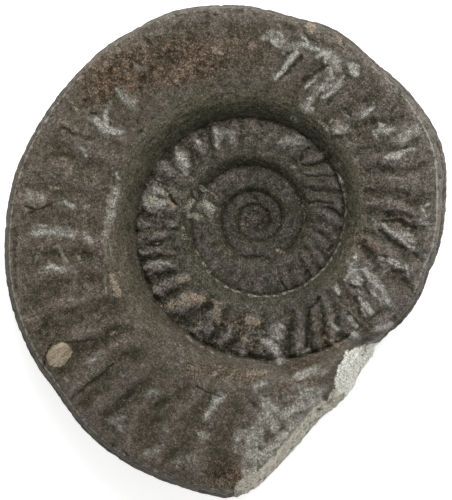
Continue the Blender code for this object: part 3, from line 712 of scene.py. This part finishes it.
def shell_points():
    """The shell's surface, ring by ring, with one point at either pole."""
    columns = LAST_TURN_START + 360 * np.arange(COLUMNS) / COLUMNS
    upper, flank, edge = (np.repeat(row, COLUMNS) for row in ring_rows())
    angle = np.tile(columns, len(upper) // COLUMNS)
    upper = np.concatenate([[True], upper, [False]])
    flank, edge, angle = (np.concatenate([[0], row, [0]]) for row in (flank, edge, angle))

    side = np.where(upper, 1, -1)
    outline = outline_radius(angle)
    width = edge_width(angle, upper)
    radius = flank * (outline - width)
    flat = around(angle, radius, side * SHOULDER_ROUND)
    rugged = ruggedness(angle, radius)
    crumbling = (1 + (0.25 + 0.5 * rugged) * lumps(flat + 1, 5 * MM, 2)).clip(0.1, 2)
    wear = (1 + 0.35 * rugged) * (1 - 0.2 * bump(190, 40, angle) * upper) * crumbling
    height = coil_height(angle, radius, upper, rib_wander(flat), wear)
    inside = outline - width - radius
    height = height - SHOULDER_DROP * (1 - np.clip(inside / SHOULDER_ROUND, 0, 1)) ** 2
    flat[:, 2] = side * height
    uneven_x, uneven_y = (flat[:, axis] + 1.1 * MM * lumps(flat + axis, 2.2 * MM, 2) for axis in (0, 1))
    height = height - 0.8 * pits(uneven_x, uneven_y) * upper + weathering(flat, angle, radius, upper)
    chip = (lumps(flat + 2, 4 * MM, 3) - 0.18).clip(0, 1) * eased(2.2 * MM, 0, inside)
    height = height - 2.2 * MM * chip

    share = brokenness(angle)
    keeled_out, keeled_up = edge_profile(edge, KEELED_EDGE)
    worn = eased(-0.15, 0.5, lumps(flat * (1, 1, 0.5) + 4, 15 * MM, 3))
    keeled_out = keeled_out + 0.75 * worn * (keeled_up**2 - keeled_out)
    broken_out, broken_up = edge_profile(edge, BROKEN_EDGE)
    broken_out = np.where(upper, broken_out, 1 - broken_out) * BREAK_SLOPE_WIDTH
    broken_out = np.where(upper, broken_out, broken_out + BREAK_LOWER_WIDTH * broken_up)
    out = keeled_out * width * (1 - share) + broken_out * share
    radius = np.where(edge > 0, outline - out, radius)
    height = height * np.where(edge > 0, keeled_up * (1 - share) + broken_up * share, 1)
    points = around(angle, radius, side * height)
    chipped = 0.20 * lumps(points, 2.4 * MM) - 0.7 * (lumps(points + 3, 4 * MM) - 0.2).clip(0, 1)
    rough = share * layered(points, BREAK_LUMPS) + (1 - share) * chipped
    points[:, :2] *= (1 + rough * MM * (edge > 0) / np.maximum(radius, SEAM_RADIUS))[:, None]
    return points


def shell_mesh():
    """The fine grid as a closed mesh of triangles that face out."""
    points = shell_points()
    rings = (len(points) - 2) // COLUMNS
    here = np.arange(COLUMNS)
    beside = np.roll(here, -1)
    first = 1
    last = 1 + (rings - 1) * COLUMNS
    faces = [np.stack([np.zeros(COLUMNS, int), first + here, first + beside], axis=1)]
    starts = 1 + COLUMNS * np.arange(rings - 1)[:, None]
    inner, inner_beside = (starts + here).ravel(), (starts + beside).ravel()
    outer, outer_beside = inner + COLUMNS, inner_beside + COLUMNS
    faces.append(np.stack([inner, outer, outer_beside], axis=1))
    faces.append(np.stack([inner, outer_beside, inner_beside], axis=1))
    faces.append(np.stack([np.full(COLUMNS, len(points) - 1), last + beside, last + here], axis=1))
    mesh = bpy.data.meshes.new("ammonite_skin")
    mesh.from_pydata(points, [], np.concatenate(faces))
    return mesh


def values_of(items, name, width, kind=float):
    """A property of a mesh's vertices or edges, one row each."""
    values = np.empty(len(items) * width, kind)
    items.foreach_get(name, values)
    return values.reshape(-1, width)


def points_of(mesh):
    return values_of(mesh.vertices, "co", 3)


def normals_of(mesh):
    return values_of(mesh.vertices, "normal", 3)


def placed(name, data):
    """A new object in the scene."""
    item = bpy.data.objects.new(name, data)
    bpy.context.scene.collection.objects.link(item)
    return item


def thinned(mesh):
    """The same surface with fewer faces, kept where it bends most."""
    item = placed("ammonite_skin", mesh)
    thinner = item.modifiers.new("fewer faces", "DECIMATE")
    thinner.ratio = MOST_FACES / len(mesh.polygons)
    thinner.use_collapse_triangulate = True
    result = bpy.data.meshes.new_from_object(item.evaluated_get(bpy.context.evaluated_depsgraph_get()))
    bpy.data.objects.remove(item)
    return result


def hollowness(mesh, rounds):
    """How far each point lies below the average of its surroundings, in metres. More rounds look farther."""
    points = points_of(mesh)
    edges = values_of(mesh.edges, "vertices", 2, int)
    here, beside = np.concatenate([edges, edges[:, ::-1]]).T
    count = np.bincount(here, minlength=len(points))
    smooth = points.copy()
    for _ in range(rounds):
        gathered = [np.bincount(here, smooth[beside, axis], len(points)) for axis in range(3)]
        smooth = 0.5 * smooth + 0.5 * np.stack(gathered, axis=1) / count[:, None]
    return ((smooth - points) * normals_of(mesh)).sum(axis=1)


def paint(mesh, name, *channels):
    """Stores up to four values a point, for the material to read."""
    values = np.zeros((len(mesh.vertices), 4), np.float32)
    for column, channel in enumerate(channels):
        values[:, column] = channel
    layer = mesh.color_attributes.new(name, "FLOAT_COLOR", "POINT")
    layer.data.foreach_set("color", values.ravel())


def cavity_shade_and_highlight(mesh, rugged):
    """How far the surface is painted darker in its hollows and paler on its raised spots, close by and
    farther off: the darkening is painted shade and dirt, the lightening painted highlight.
    """
    fine = hollowness(mesh, 6)
    broad = hollowness(mesh, 60)
    painted_shade_and_dirt = (0.06 + 0.3 * rugged) * eased(0.10 * MM, 0.55 * MM, broad)
    painted_shade_and_dirt = painted_shade_and_dirt + (0.45 + 0.2 * rugged) * eased(0.03 * MM, 0.16 * MM, fine)
    crest_painted_highlight = 0.4 * eased(0.08 * MM, 0.60 * MM, -broad) + 0.7 * eased(0.03 * MM, 0.14 * MM, -fine)
    return painted_shade_and_dirt, crest_painted_highlight.clip(0, 1)


def wall_painted_shade(angle, across, inner):
    """How dark the umbilical wall is painted, on the last turn and on the ones inside it: partly its dark
    olive stain, partly painted shade, strongest where the wall faces away from the light and fading out at
    the bottom, where it faces the light.
    """
    wall = eased(0, 0.03, across) * (1 - 0.4 * eased(0.08, 0.20, across)) * (1 - eased(0.12, 0.38, across))
    last = (0.3 + stretches(WALL_PAINTED_SHADE, angle)) * (1 - 0.9 * bump(262, 34, angle))
    inside = 0.75 - 0.45 * bump(290, 45, np.where(angle < 60, angle + 360, angle))
    return (wall * np.where(inner > 0.5, inside, last)).clip(0, 1)


def pale_line_and_edge_highlight(angle, inside, shoulder):
    """The shoulder's pale line, and painted highlight on the rim at the upper left and on the strip of
    venter at the right, edges that face the light.
    """
    line = bump(0.15 * MM, 0.30 * MM, inside - shoulder) * (1 - brokenness(angle))
    line = line * (0.35 + stretches(PALE_SHOULDER, angle))
    rim = eased(2.2 * MM, 1.6 * MM, inside) * eased(84, 92, angle) * (1 - eased(138, 150, angle))
    strip = eased(shoulder + 0.1 * MM, shoulder - 0.2 * MM, inside) * bump(12, 24, angle)
    return line, 0.5 * rim + 0.6 * strip


def broken_face(points, angle, inside, facing_up):
    """How pale the slope of the broken mouth is, with a frayed edge and patches."""
    slope = edge_width(angle, True)
    frayed = inside + 0.8 * MM * lumps(points, 3 * MM, 2)
    patchy = (0.72 + 0.5 * lumps(points, 2.5 * MM, 2)).clip(0, 1)
    on_slope = brokenness(angle) * facing_up * eased(slope + 0.6 * MM, slope - 0.6 * MM, frayed)
    return on_slope * (0.35 + 0.65 * eased(263, 271, angle)) * patchy


def paint_marks(mesh):
    """Works out which marks, wear, painted shade and painted highlight every point has, while the shell is
    still laid out about its axis.
    """
    points = points_of(mesh)
    signed = np.degrees(np.arctan2(points[:, 1], points[:, 0]))
    angle = np.where(signed < LAST_TURN_START, signed + 360, signed)
    radius = np.hypot(points[:, 0], points[:, 1])
    upper = points[:, 2] > 0
    straight = photo_place(points)
    places = strayed(straight, points)
    halfway = 0.5 * (places + straight)
    away, running, uneven = ragged_seams(points, angle, radius)
    inside = outline_radius(angle) - radius
    shoulder = edge_width(angle, upper)
    seen = seen_angle(angle, radius)
    across = across_whorl(seen, radius)
    past_seam = radius - grown(SEAM_RADIUS, COIL_GROWTH, angle)
    last_turn = past_seam > 0
    inner = eased(0.8 * MM, -0.8 * MM, past_seam) + 0.3 * (seen < LAST_TURN_START - 360)
    rugged = ruggedness(angle, radius)

    cavity_shade_and_dirt, crest_painted_highlight = cavity_shade_and_highlight(mesh, rugged)
    # Painted shadow at the foot of each seam.
    seam_foot_shadow = bump(-0.3 * MM, 0.5 * MM, away) * along(SEAM_FOOT_DEPTH_AND_PAINTED_SHADOW, running) * uneven
    # Painted shade and dirt in hollows, the painted shadow at the seams' feet, and the dark strokes.
    painted_shade_and_dirt = cavity_shade_and_dirt + seam_foot_shadow + stroke_field(places, DENTS_AND_PAINTED_SHADOWS, upper)
    ribs = rib_grooves(seen, across, upper, rib_wander(points)) / (1.6 * MM) * (0.5 + 0.8 * rugged)
    # Painted shadow on the venter at the left, which faces away from the light.
    venter_painted_shadow = eased(shoulder, shoulder - 0.4 * MM, inside) * upper * bump(205, 40, angle)

    dotted = (0.65 + 1.0 * lumps(points, 1.4 * MM, 2)).clip(0, 1)
    lip = bump(0.65 * MM, 0.30 * MM, away) * along(LIP_LIGHT, running) * dotted
    # The second value is painted highlight on edges towards the light.
    line, edge_painted_highlight = pale_line_and_edge_highlight(angle, inside, shoulder)
    facing_up = eased(-0.35, 0.0, normals_of(mesh)[:, 2])
    band = np.maximum(stroke_field(places, BREAK_BAND, upper), broken_face(points, angle, inside, facing_up))
    fresh = inside_field(straight + 1.6 * (places - straight), FRESH) * facing_up
    oval = oval_field(straight + 1.3 * (places - straight), upper)

    rust = stroke_field(places, RUST, upper)
    right_side = 0.4 * bump(10, 50, signed) * (across > 0.2) * last_turn
    coarse = np.maximum.reduce([0.85 * rugged, 0.25 * inner, 0.9 * rust, right_side, 0.5 * ~upper])
    inner_right = bump(0, 42, signed) * (inner > 0.5)
    dim = inner * (1 - 0.65 * rugged) + 0.45 * inner_right + stretches(DIM_FLANK, angle) * last_turn

    below = 0.75 * ~upper
    ash = stroke_field(places, ASH, upper) + below * eased(0.22, 0.60, lumps(points, 15 * MM))
    tan = stroke_field(places, TAN, upper) + below * eased(0.25, 0.60, lumps(points + 5, 10 * MM))
    chalk = stroke_field(places, CHALK, upper) + below * eased(0.38, 0.65, lumps(points + 6, 7 * MM))
    lichen = stroke_field(places, LICHEN, upper)
    cracks, scratches = (stroke_field(halfway, strokes, upper) for strokes in (CRACKS, FINE_SCRATCHES))
    wedge = stroke_field(straight, WEDGE, upper)
    paint(mesh, "crusts", chalk, ash, tan, lichen)
    pale_line, edge_painted_highlight = ((pale * upper).clip(0, 1) for pale in (lip + line, edge_painted_highlight))
    # The wear values are painted shade and dirt in hollows, painted highlight on raised spots, pale lines,
    # and painted highlight on edges towards the light.
    paint(mesh, "wear", painted_shade_and_dirt.clip(0, 1), crest_painted_highlight, pale_line, edge_painted_highlight)
    paint(mesh, "broken", fresh, band, cracks, wedge)
    paint(mesh, "ground", rust, wall_painted_shade(angle, across, inner), dim, coarse.clip(0, 1))
    paint(mesh, "forms", oval, ribs.clip(0, 1), venter_painted_shadow, scratches)


def lay_down(mesh):
    """Leans the shell as it rests, puts it in the solid's box and grinds its low spots flat."""
    mesh.transform(lean_matrix())
    points = points_of(mesh)
    low, high = (np.array(corner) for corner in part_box(NODE))
    shift = (low + high) / 2 - (points.min(axis=0) + points.max(axis=0)) / 2
    shift[2] = low[2] - GROUND_OFF - points[:, 2].min()
    points += shift
    points[:, 2] = np.maximum(points[:, 2], low[2])
    mesh.vertices.foreach_set("co", points.ravel())
    mesh.update()


def node(tree, kind, inputs=(), **settings):
    """A shader node with its settings and its inputs, each a value or another node's socket."""
    made = tree.nodes.new(kind)
    for name, value in settings.items():
        setattr(made, name, value)
    for name, value in dict(inputs).items():
        if isinstance(value, bpy.types.NodeSocket):
            tree.links.new(value, made.inputs[name])
        else:
            made.inputs[name].default_value = value
    return made


def reckoned(tree, operation, first, second=0.0, third=0.0, clamp=False):
    """The result of a sum on values or sockets."""
    inputs = {0: first, 1: second, 2: third}
    return node(tree, "ShaderNodeMath", inputs, operation=operation, use_clamp=clamp).outputs[0]


def mapped(tree, value, low, high, out_low=0.0, out_high=1.0):
    """A value spread from one range over another, with a smooth step."""
    inputs = {"Value": value, "From Min": low, "From Max": high, "To Min": out_low, "To Max": out_high}
    return node(tree, "ShaderNodeMapRange", inputs, interpolation_type="SMOOTHSTEP").outputs[0]


def mixed(tree, factor, first, second, blend="MIX"):
    """Two colours mixed by a factor. Each is three numbers or a socket."""
    inputs = {0: factor}
    for slot, color in ((6, first), (7, second)):
        inputs[slot] = color if isinstance(color, bpy.types.NodeSocket) else (*color, 1)
    return node(tree, "ShaderNodeMix", inputs, data_type="RGBA", blend_type=blend).outputs[2]


def vectors(tree, operation, inputs):
    """The outputs of a sum on vectors."""
    return node(tree, "ShaderNodeVectorMath", inputs, operation=operation).outputs


def noisy(tree, place, span, detail=3.0, rough=0.6, twist=0.0):
    """Noise with lumps about this many millimetres apart, drawn into swirls by the twist."""
    inputs = {"Vector": place, "Scale": 1 / span, "Detail": detail, "Roughness": rough, "Distortion": twist}
    return node(tree, "ShaderNodeTexNoise", inputs).outputs[0]


def new_group(name, inputs, outputs):
    """A node group with named sockets: its tree, its inputs by name, and a function that sets an output."""
    tree = bpy.data.node_groups.new(name, "ShaderNodeTree")
    for side, sockets in (("INPUT", inputs), ("OUTPUT", outputs)):
        for socket in sockets:
            kind = "NodeSocketVector" if socket == "Place" else "NodeSocketFloat"
            tree.interface.new_socket(socket, in_out=side, socket_type=kind)
    entry = tree.nodes.new("NodeGroupInput")
    end = tree.nodes.new("NodeGroupOutput")
    return tree, entry.outputs, lambda socket, value: tree.links.new(value, end.inputs[socket])


def use_group(tree, group, inputs):
    return node(tree, "ShaderNodeGroup", inputs, node_tree=group).outputs


def summed(tree, start, *terms):
    """A number plus the sum of (value, weight) terms."""
    total = start
    for value, weight in terms:
        total = reckoned(tree, "MULTIPLY_ADD", value, weight, total)
    return total


def ramp(tree, value, *stops):
    """A colour looked up along (position, colour) stops."""
    made = node(tree, "ShaderNodeValToRGB", {"Fac": value})
    elements = made.color_ramp.elements
    for number, (position, color) in enumerate(stops):
        stop = elements[number] if number < 2 else elements.new(position)
        stop.position = position
        stop.color = (*color, 1)
    return made.outputs[0]


def streak_group():
    """Noise drawn out along the ribs, and along the coil."""
    tree, given, give = new_group("Streaks", ["Place"], ["Radial", "Spiral"])
    away = vectors(tree, "SUBTRACT", {0: given["Place"], 1: POLE_PLACE})[0]
    flat = vectors(tree, "MULTIPLY", {0: away, 1: (1, 1, 0)})[0]
    radius = vectors(tree, "LENGTH", {0: flat})["Value"]
    way = vectors(tree, "NORMALIZE", {0: flat})[0]
    height = node(tree, "ShaderNodeSeparateXYZ", {0: away}).outputs["Z"]
    for name, turns, rings in (("Radial", 62, 0.16), ("Spiral", 9, 1.5)):
        turned = vectors(tree, "SCALE", {0: way, "Scale": turns})[0]
        parts = node(tree, "ShaderNodeSeparateXYZ", {0: turned}).outputs
        out = summed(tree, 0.0, (radius, rings), (height, 0.6 * rings))
        lines = node(tree, "ShaderNodeCombineXYZ", {"X": parts["X"], "Y": parts["Y"], "Z": out}).outputs[0]
        give(name, mapped(tree, noisy(tree, lines, 1.0, 3, 0.6), 0.32, 0.68))
    return tree


def ragged_group():
    """Turns a soft field into a mask with a ragged, gappy edge, a thinner veil around it, and a rim."""
    tree, given, give = new_group("Ragged edge", ["Place", "Field", "Streak"], ["Mask", "Veil", "Rim"])
    coarse = noisy(tree, given["Place"], 2.2, 4, 0.7)
    fine = noisy(tree, given["Place"], 0.6, 2, 0.7)
    finest = noisy(tree, given["Place"], 0.33, 1, 0.5)
    terms = ((given["Field"], 1.0), (coarse, 1.2), (fine, 0.7), (finest, 0.5), (given["Streak"], 0.24))
    torn = summed(tree, -1.30, *terms)
    near = mapped(tree, given["Field"], 0.0, 0.15)
    mask = reckoned(tree, "MULTIPLY", mapped(tree, torn, 0.34, 0.66), near)
    give("Mask", mask)
    give("Veil", reckoned(tree, "MULTIPLY", mapped(tree, torn, -0.25, 0.40), near))
    give("Rim", reckoned(tree, "SUBTRACT", near, mask, clamp=True))
    return tree


def fleck_group():
    """Pale and dark specks, each in its own random place."""
    tree, given, give = new_group("Flecks", ["Place"], ["Pale", "Dark"])
    for name, span, reach, chosen in (("Pale", 0.9, 0.36, 0.42), ("Dark", 1.2, 0.32, 0.5)):
        shifted = vectors(tree, "ADD", {0: given["Place"], 1: (span, 3 * span, 7 * span)})[0]
        cells = node(tree, "ShaderNodeTexVoronoi", {"Vector": shifted, "Scale": 1 / span})
        near = mapped(tree, cells.outputs["Distance"], reach, 0.6 * reach)
        luck = node(tree, "ShaderNodeSeparateColor", {"Color": cells.outputs["Color"]}).outputs[0]
        give(name, reckoned(tree, "MULTIPLY", near, mapped(tree, luck, chosen, chosen + 0.2)))
    return tree


def scratch_group():
    """Thin, short pale scratches that run several ways."""
    tree, given, give = new_group("Scratches", ["Place"], ["Mask"])
    strongest = 0.0
    for turn in (20, 63, 118, 160):
        inputs = {"Vector": given["Place"], "Angle": math.radians(turn)}
        spun = node(tree, "ShaderNodeVectorRotate", inputs, rotation_type="Z_AXIS").outputs[0]
        drawn = vectors(tree, "MULTIPLY", {0: spun, 1: (0.32, 2.6, 0.8)})[0]
        lines = mapped(tree, noisy(tree, drawn, 1.0, 1, 0.4), 0.68, 0.74)
        strongest = reckoned(tree, "MAXIMUM", strongest, lines)
    patches = mapped(tree, noisy(tree, given["Place"], 9.0, 2, 0.5), 0.42, 0.62)
    give("Mask", reckoned(tree, "MULTIPLY", strongest, patches))
    return tree


def mottle_group():
    """Unevenness of the stone at four sizes."""
    sizes = {
        "Broad": ((12.0, 4, 0.6), 0.34, 0.66), "Middle": ((2.8, 5, 0.7, 0.8), 0.32, 0.68),
        "Fine": ((1.1, 3, 0.75, 2.2), 0.34, 0.66), "Grit": ((0.52, 2, 0.8, 1.4), 0.40, 0.60),
    }
    tree, given, give = new_group("Mottling", ["Place"], sizes)
    for name, (kind, low, high) in sizes.items():
        give(name, mapped(tree, noisy(tree, given["Place"], *kind), low, high))
    return tree


def scrawl_group():
    """Thin dark lines that wander over the stone, like worn growth lines and bored tracks, and thin pale
    lines near them, which are painted highlight.
    """
    tree, given, give = new_group("Scrawl", ["Place"], ["Dark", "Pale"])
    lie = noisy(tree, given["Place"], 2.0, 3, 0.6, 0.6)
    patches = mapped(tree, noisy(tree, given["Place"], 5.0, 2, 0.6), 0.30, 0.56)
    for name, level in (("Dark", 0.45), ("Pale", 0.56)):
        beside = reckoned(tree, "ABSOLUTE", reckoned(tree, "SUBTRACT", lie, level))
        give(name, reckoned(tree, "MULTIPLY", mapped(tree, beside, 0.060, 0.012), patches))
    return tree


def grain_group():
    """Height of the stone's fine grain, pocks and scratches."""
    weights = {"Scratches": -0.2, "Crust": 0.25, "Streak": 0.2, "Scrawl": -0.22}
    tree, given, give = new_group("Grain", ["Place", *weights], ["Height"])
    grain = noisy(tree, given["Place"], 1.4, 6, 0.78, 0.8)
    pocks = mapped(tree, noisy(tree, given["Place"], 2.1, 3, 0.6), 0.64, 0.76)
    others = ((given[name], weight) for name, weight in weights.items())
    give("Height", summed(tree, 0.0, (grain, 1.0), (pocks, -0.5), *others))
    return tree


def channels_of(tree, name):
    """The four stored values of an attribute."""
    stored = node(tree, "ShaderNodeAttribute", attribute_name=name, attribute_type="GEOMETRY").outputs
    return [*node(tree, "ShaderNodeSeparateColor", {"Color": stored["Color"]}).outputs, stored["Alpha"]]


def new_material(name, look):
    """A material, its node tree and its shader, with the constants of its look set."""
    material = bpy.data.materials.new(name)
    material.use_nodes = True
    shader = material.node_tree.nodes["Principled BSDF"]
    for socket, value in look.items():
        shader.inputs[socket].default_value = value
    return material, material.node_tree, shader


def stone_material():
    """Mottled ground by tone and hue, then specks, crusts, the broken face and cracks laid over it."""
    material, tree, shader = new_material("weathered_limestone", {"Specular IOR Level": STONE_SHINE})
    where = node(tree, "ShaderNodeTexCoord").outputs["Object"]
    place = vectors(tree, "SCALE", {0: where, "Scale": 1 / MM})[0]
    chalk, ash, tan, lichen = channels_of(tree, "crusts")
    # Painted shade and dirt in hollows, painted highlight on raised spots, pale lines, and painted highlight
    # on edges towards the light.
    painted_shade_and_dirt, crest_painted_highlight, pale_line, edge_painted_highlight = channels_of(tree, "wear")
    fresh, band, crack, wedge = channels_of(tree, "broken")
    # The wall value is the umbilical wall's painted shade and its olive stain.
    rust, wall, dim, coarse = channels_of(tree, "ground")
    # Of these, the venter's value is its painted shadow.
    oval, ribs, venter_painted_shadow, scratched = channels_of(tree, "forms")

    mottle, streaks, flecks, scrawl, scratches = (
        use_group(tree, group, {"Place": place})
        for group in (mottle_group(), streak_group(), fleck_group(), scrawl_group(), scratch_group())
    )
    broad, middle, fine, grit = (mottle[name] for name in ("Broad", "Middle", "Fine", "Grit"))
    radial, spiral = streaks["Radial"], streaks["Spiral"]
    ragged = ragged_group()

    def torn(field, output="Mask"):
        return use_group(tree, ragged, {"Place": place, "Field": field, "Streak": radial})[output]

    def times(first, second):
        return reckoned(tree, "MULTIPLY", first, second)

    speckle = mapped(tree, summed(tree, 0.0, (fine, 0.5), (grit, 0.4), (radial, 0.1)), 0.30, 0.70)

    def crust(name, variation=speckle):
        dark, pale = CRUSTS[name]
        return mixed(tree, variation, dark, pale)

    clumps = summed(tree, -0.5, (middle, 0.55), (fine, 0.45))
    marked = summed(tree, 0.35, (coarse, 0.65))
    # The tone is lowered by painted shade and dirt in hollows, by painted shadow on the left venter and by
    # the umbilical wall's painted shade and olive stain, and raised by painted highlight on raised spots and
    # on edges towards the light.
    tone = summed(
        tree, 0.18, (broad, 0.10), (middle, 0.07), (fine, 0.17), (grit, 0.36), (radial, 0.05),
        (spiral, 0.06), (times(clumps, coarse), 0.44), (crest_painted_highlight, 0.13), (painted_shade_and_dirt, -0.29), (dim, -0.11),
        (ribs, -0.08), (venter_painted_shadow, -0.16), (wall, -0.42), (times(spiral, wall), 0.36), (edge_painted_highlight, 0.16),
        # The pale scrawl is painted highlight beside the dark lines.
        (rust, -0.14), (times(scrawl["Dark"], marked), -0.22), (times(scrawl["Pale"], marked), 0.20),
        (torn(chalk, "Rim"), -0.05), (times(summed(tree, -0.5, (grit, 1.0)), coarse), 0.26),
    )
    ground = ramp(tree, tone, *GROUND_RAMP)
    inner = reckoned(tree, "MAXIMUM", coarse, mapped(tree, dim, 0.7, 1.0))
    hue = mixed(tree, inner, TINTS["smooth"], TINTS["inner"])
    hue = mixed(tree, mapped(tree, tone, 0.22, 0.68), TINTS["dark"], hue)
    mottles = mixed(tree, middle, TINTS["dark mottles"], TINTS["pale mottles"])
    hue = mixed(tree, 1.0, hue, mottles, "MULTIPLY")
    hue = mixed(tree, times(rust, mapped(tree, fine, 0.15, 0.6)), hue, TINTS["rust"])
    hue = mixed(tree, times(ribs, 0.5), hue, TINTS["ribs"])
    hue = mixed(tree, times(wall, 0.9), hue, TINTS["wall"])
    color = mixed(tree, 1.0, ground, hue, "MULTIPLY")

    speckled = times(mapped(tree, middle, 0.25, 0.75), summed(tree, 0.38, (coarse, 0.35)))
    mossy = mapped(tree, times(fine, grit), 0.30, 0.70)
    stained = mapped(tree, middle, 0.15, 0.75)
    ashen = summed(tree, 0.0, (torn(ash, "Veil"), 0.42), (torn(ash), 0.58))
    grained = summed(tree, 0.0, (speckle, 0.5), (radial, 0.5))
    facet = mixed(tree, speckle, crust("facet stain", stained), FACET_PALE)
    for mask, shade in (
        (times(flecks["Dark"], 0.4), PLAIN["dark fleck"]),
        (times(flecks["Pale"], speckled), PLAIN["pale fleck"]),
        (times(scratches["Mask"], 0.45), PLAIN["scratch"]),
        (times(scratched, 0.8), PLAIN["long scratch"]),
        (times(times(mossy, wall), 0.45), PLAIN["moss"]),
        (times(ashen, summed(tree, 0.45, (stained, 0.5))), crust("ash")),
        (times(torn(tan), 0.8), crust("tan")),
        (times(torn(lichen), 0.8), crust("lichen")),
        (times(torn(chalk, "Veil"), 0.6), crust("thin chalk", fine)),
        (times(torn(chalk), summed(tree, 0.15, (chalk, 0.85))), crust("chalk")),
        (times(torn(pale_line), 0.7), PLAIN["pale line"]),
        (mapped(tree, oval, 0.03, 0.16), crust("oval", grained)),
        (times(torn(band), summed(tree, 0.66, (stained, 0.30))), crust("break")),
        (times(wedge, 0.8), crust("wedge", fine)),
        (torn(fresh), mixed(tree, flecks["Dark"], facet, PLAIN["facet fleck"])),
        (times(crack, 0.85), PLAIN["crack"]),
    ):
        color = mixed(tree, mask, color, shade)
    color = mixed(tree, 1.0, color, TINTS["all"], "MULTIPLY")
    tree.links.new(color, shader.inputs["Base Color"])

    tree.links.new(mapped(tree, fine, 0.0, 1.0, 0.64, 0.84), shader.inputs["Roughness"])
    height = use_group(tree, grain_group(), {
        "Place": place, "Scratches": scratches["Mask"], "Crust": torn(chalk), "Streak": radial,
        "Scrawl": scrawl["Dark"],
    })["Height"]
    grain = node(tree, "ShaderNodeBump", {"Height": height, "Strength": 0.9, "Distance": 0.6 * MM})
    tree.links.new(grain.outputs[0], shader.inputs["Normal"])
    return material


def make_fossil():
    mesh = thinned(shell_mesh())
    paint_marks(mesh)
    lay_down(mesh)
    mesh.materials.append(stone_material())
    mesh.shade_smooth()
    fossil = placed("ammonite_skin", mesh)
    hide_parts(NODE)
    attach(fossil, "root")


def make_floor():
    mesh = bpy.data.meshes.new("floor")
    plane = bmesh.new()
    bmesh.ops.create_grid(plane, x_segments=1, y_segments=1, size=FLOOR_HALF_SIZE)
    plane.to_mesh(mesh)
    plane.free()
    material, *_ = new_material("pale_floor", FLOOR_LOOK)
    mesh.materials.append(material)
    floor = placed("floor", mesh)


def make_light(name, azimuth, elevation, distance, size, power):
    """A square soft box that faces the fossil. Azimuth is counted from +X, as the coil's angles are."""
    lamp = bpy.data.lights.new(name, "AREA")
    lamp.size = size
    lamp.energy = power
    turn = math.radians(azimuth)
    lift = math.radians(elevation)
    way = Vector((math.cos(turn) * math.cos(lift), math.sin(turn) * math.cos(lift), math.sin(lift)))
    item = placed(name, lamp)
    item.location = way * distance
    item.rotation_euler = (-way).to_track_quat("-Z", "Y").to_euler()


def make_studio():
    scene = bpy.context.scene
    scene.view_settings.view_transform = "Standard"
    scene.world = bpy.data.worlds.new("studio")
    scene.world.use_nodes = True
    for socket, value in WORLD_LOOK.items():
        scene.world.node_tree.nodes["Background"].inputs[socket].default_value = value
    make_light("key_softbox", azimuth=74, elevation=48, distance=1.5, size=1.2, power=30)


def make_camera():
    """Looks straight down, with the photograph's up along +Y."""
    lens = bpy.data.cameras.new("camera")
    lens.sensor_width = SENSOR_WIDTH
    lens.lens = FRAMING * SENSOR_WIDTH * (CAMERA_HEIGHT - AIM_HEIGHT) / (PHOTO_HEIGHT * PIXEL)
    camera = placed("camera", lens)
    right = (PHOTO_WIDTH / 2 - FOSSIL_MIDDLE_X) * PIXEL
    up = (FOSSIL_MIDDLE_Y - PHOTO_HEIGHT / 2) * PIXEL
    camera.location = (right, up, CAMERA_HEIGHT)
    bpy.context.scene.camera = camera


make_camera()
make_fossil()
make_floor()
make_studio()
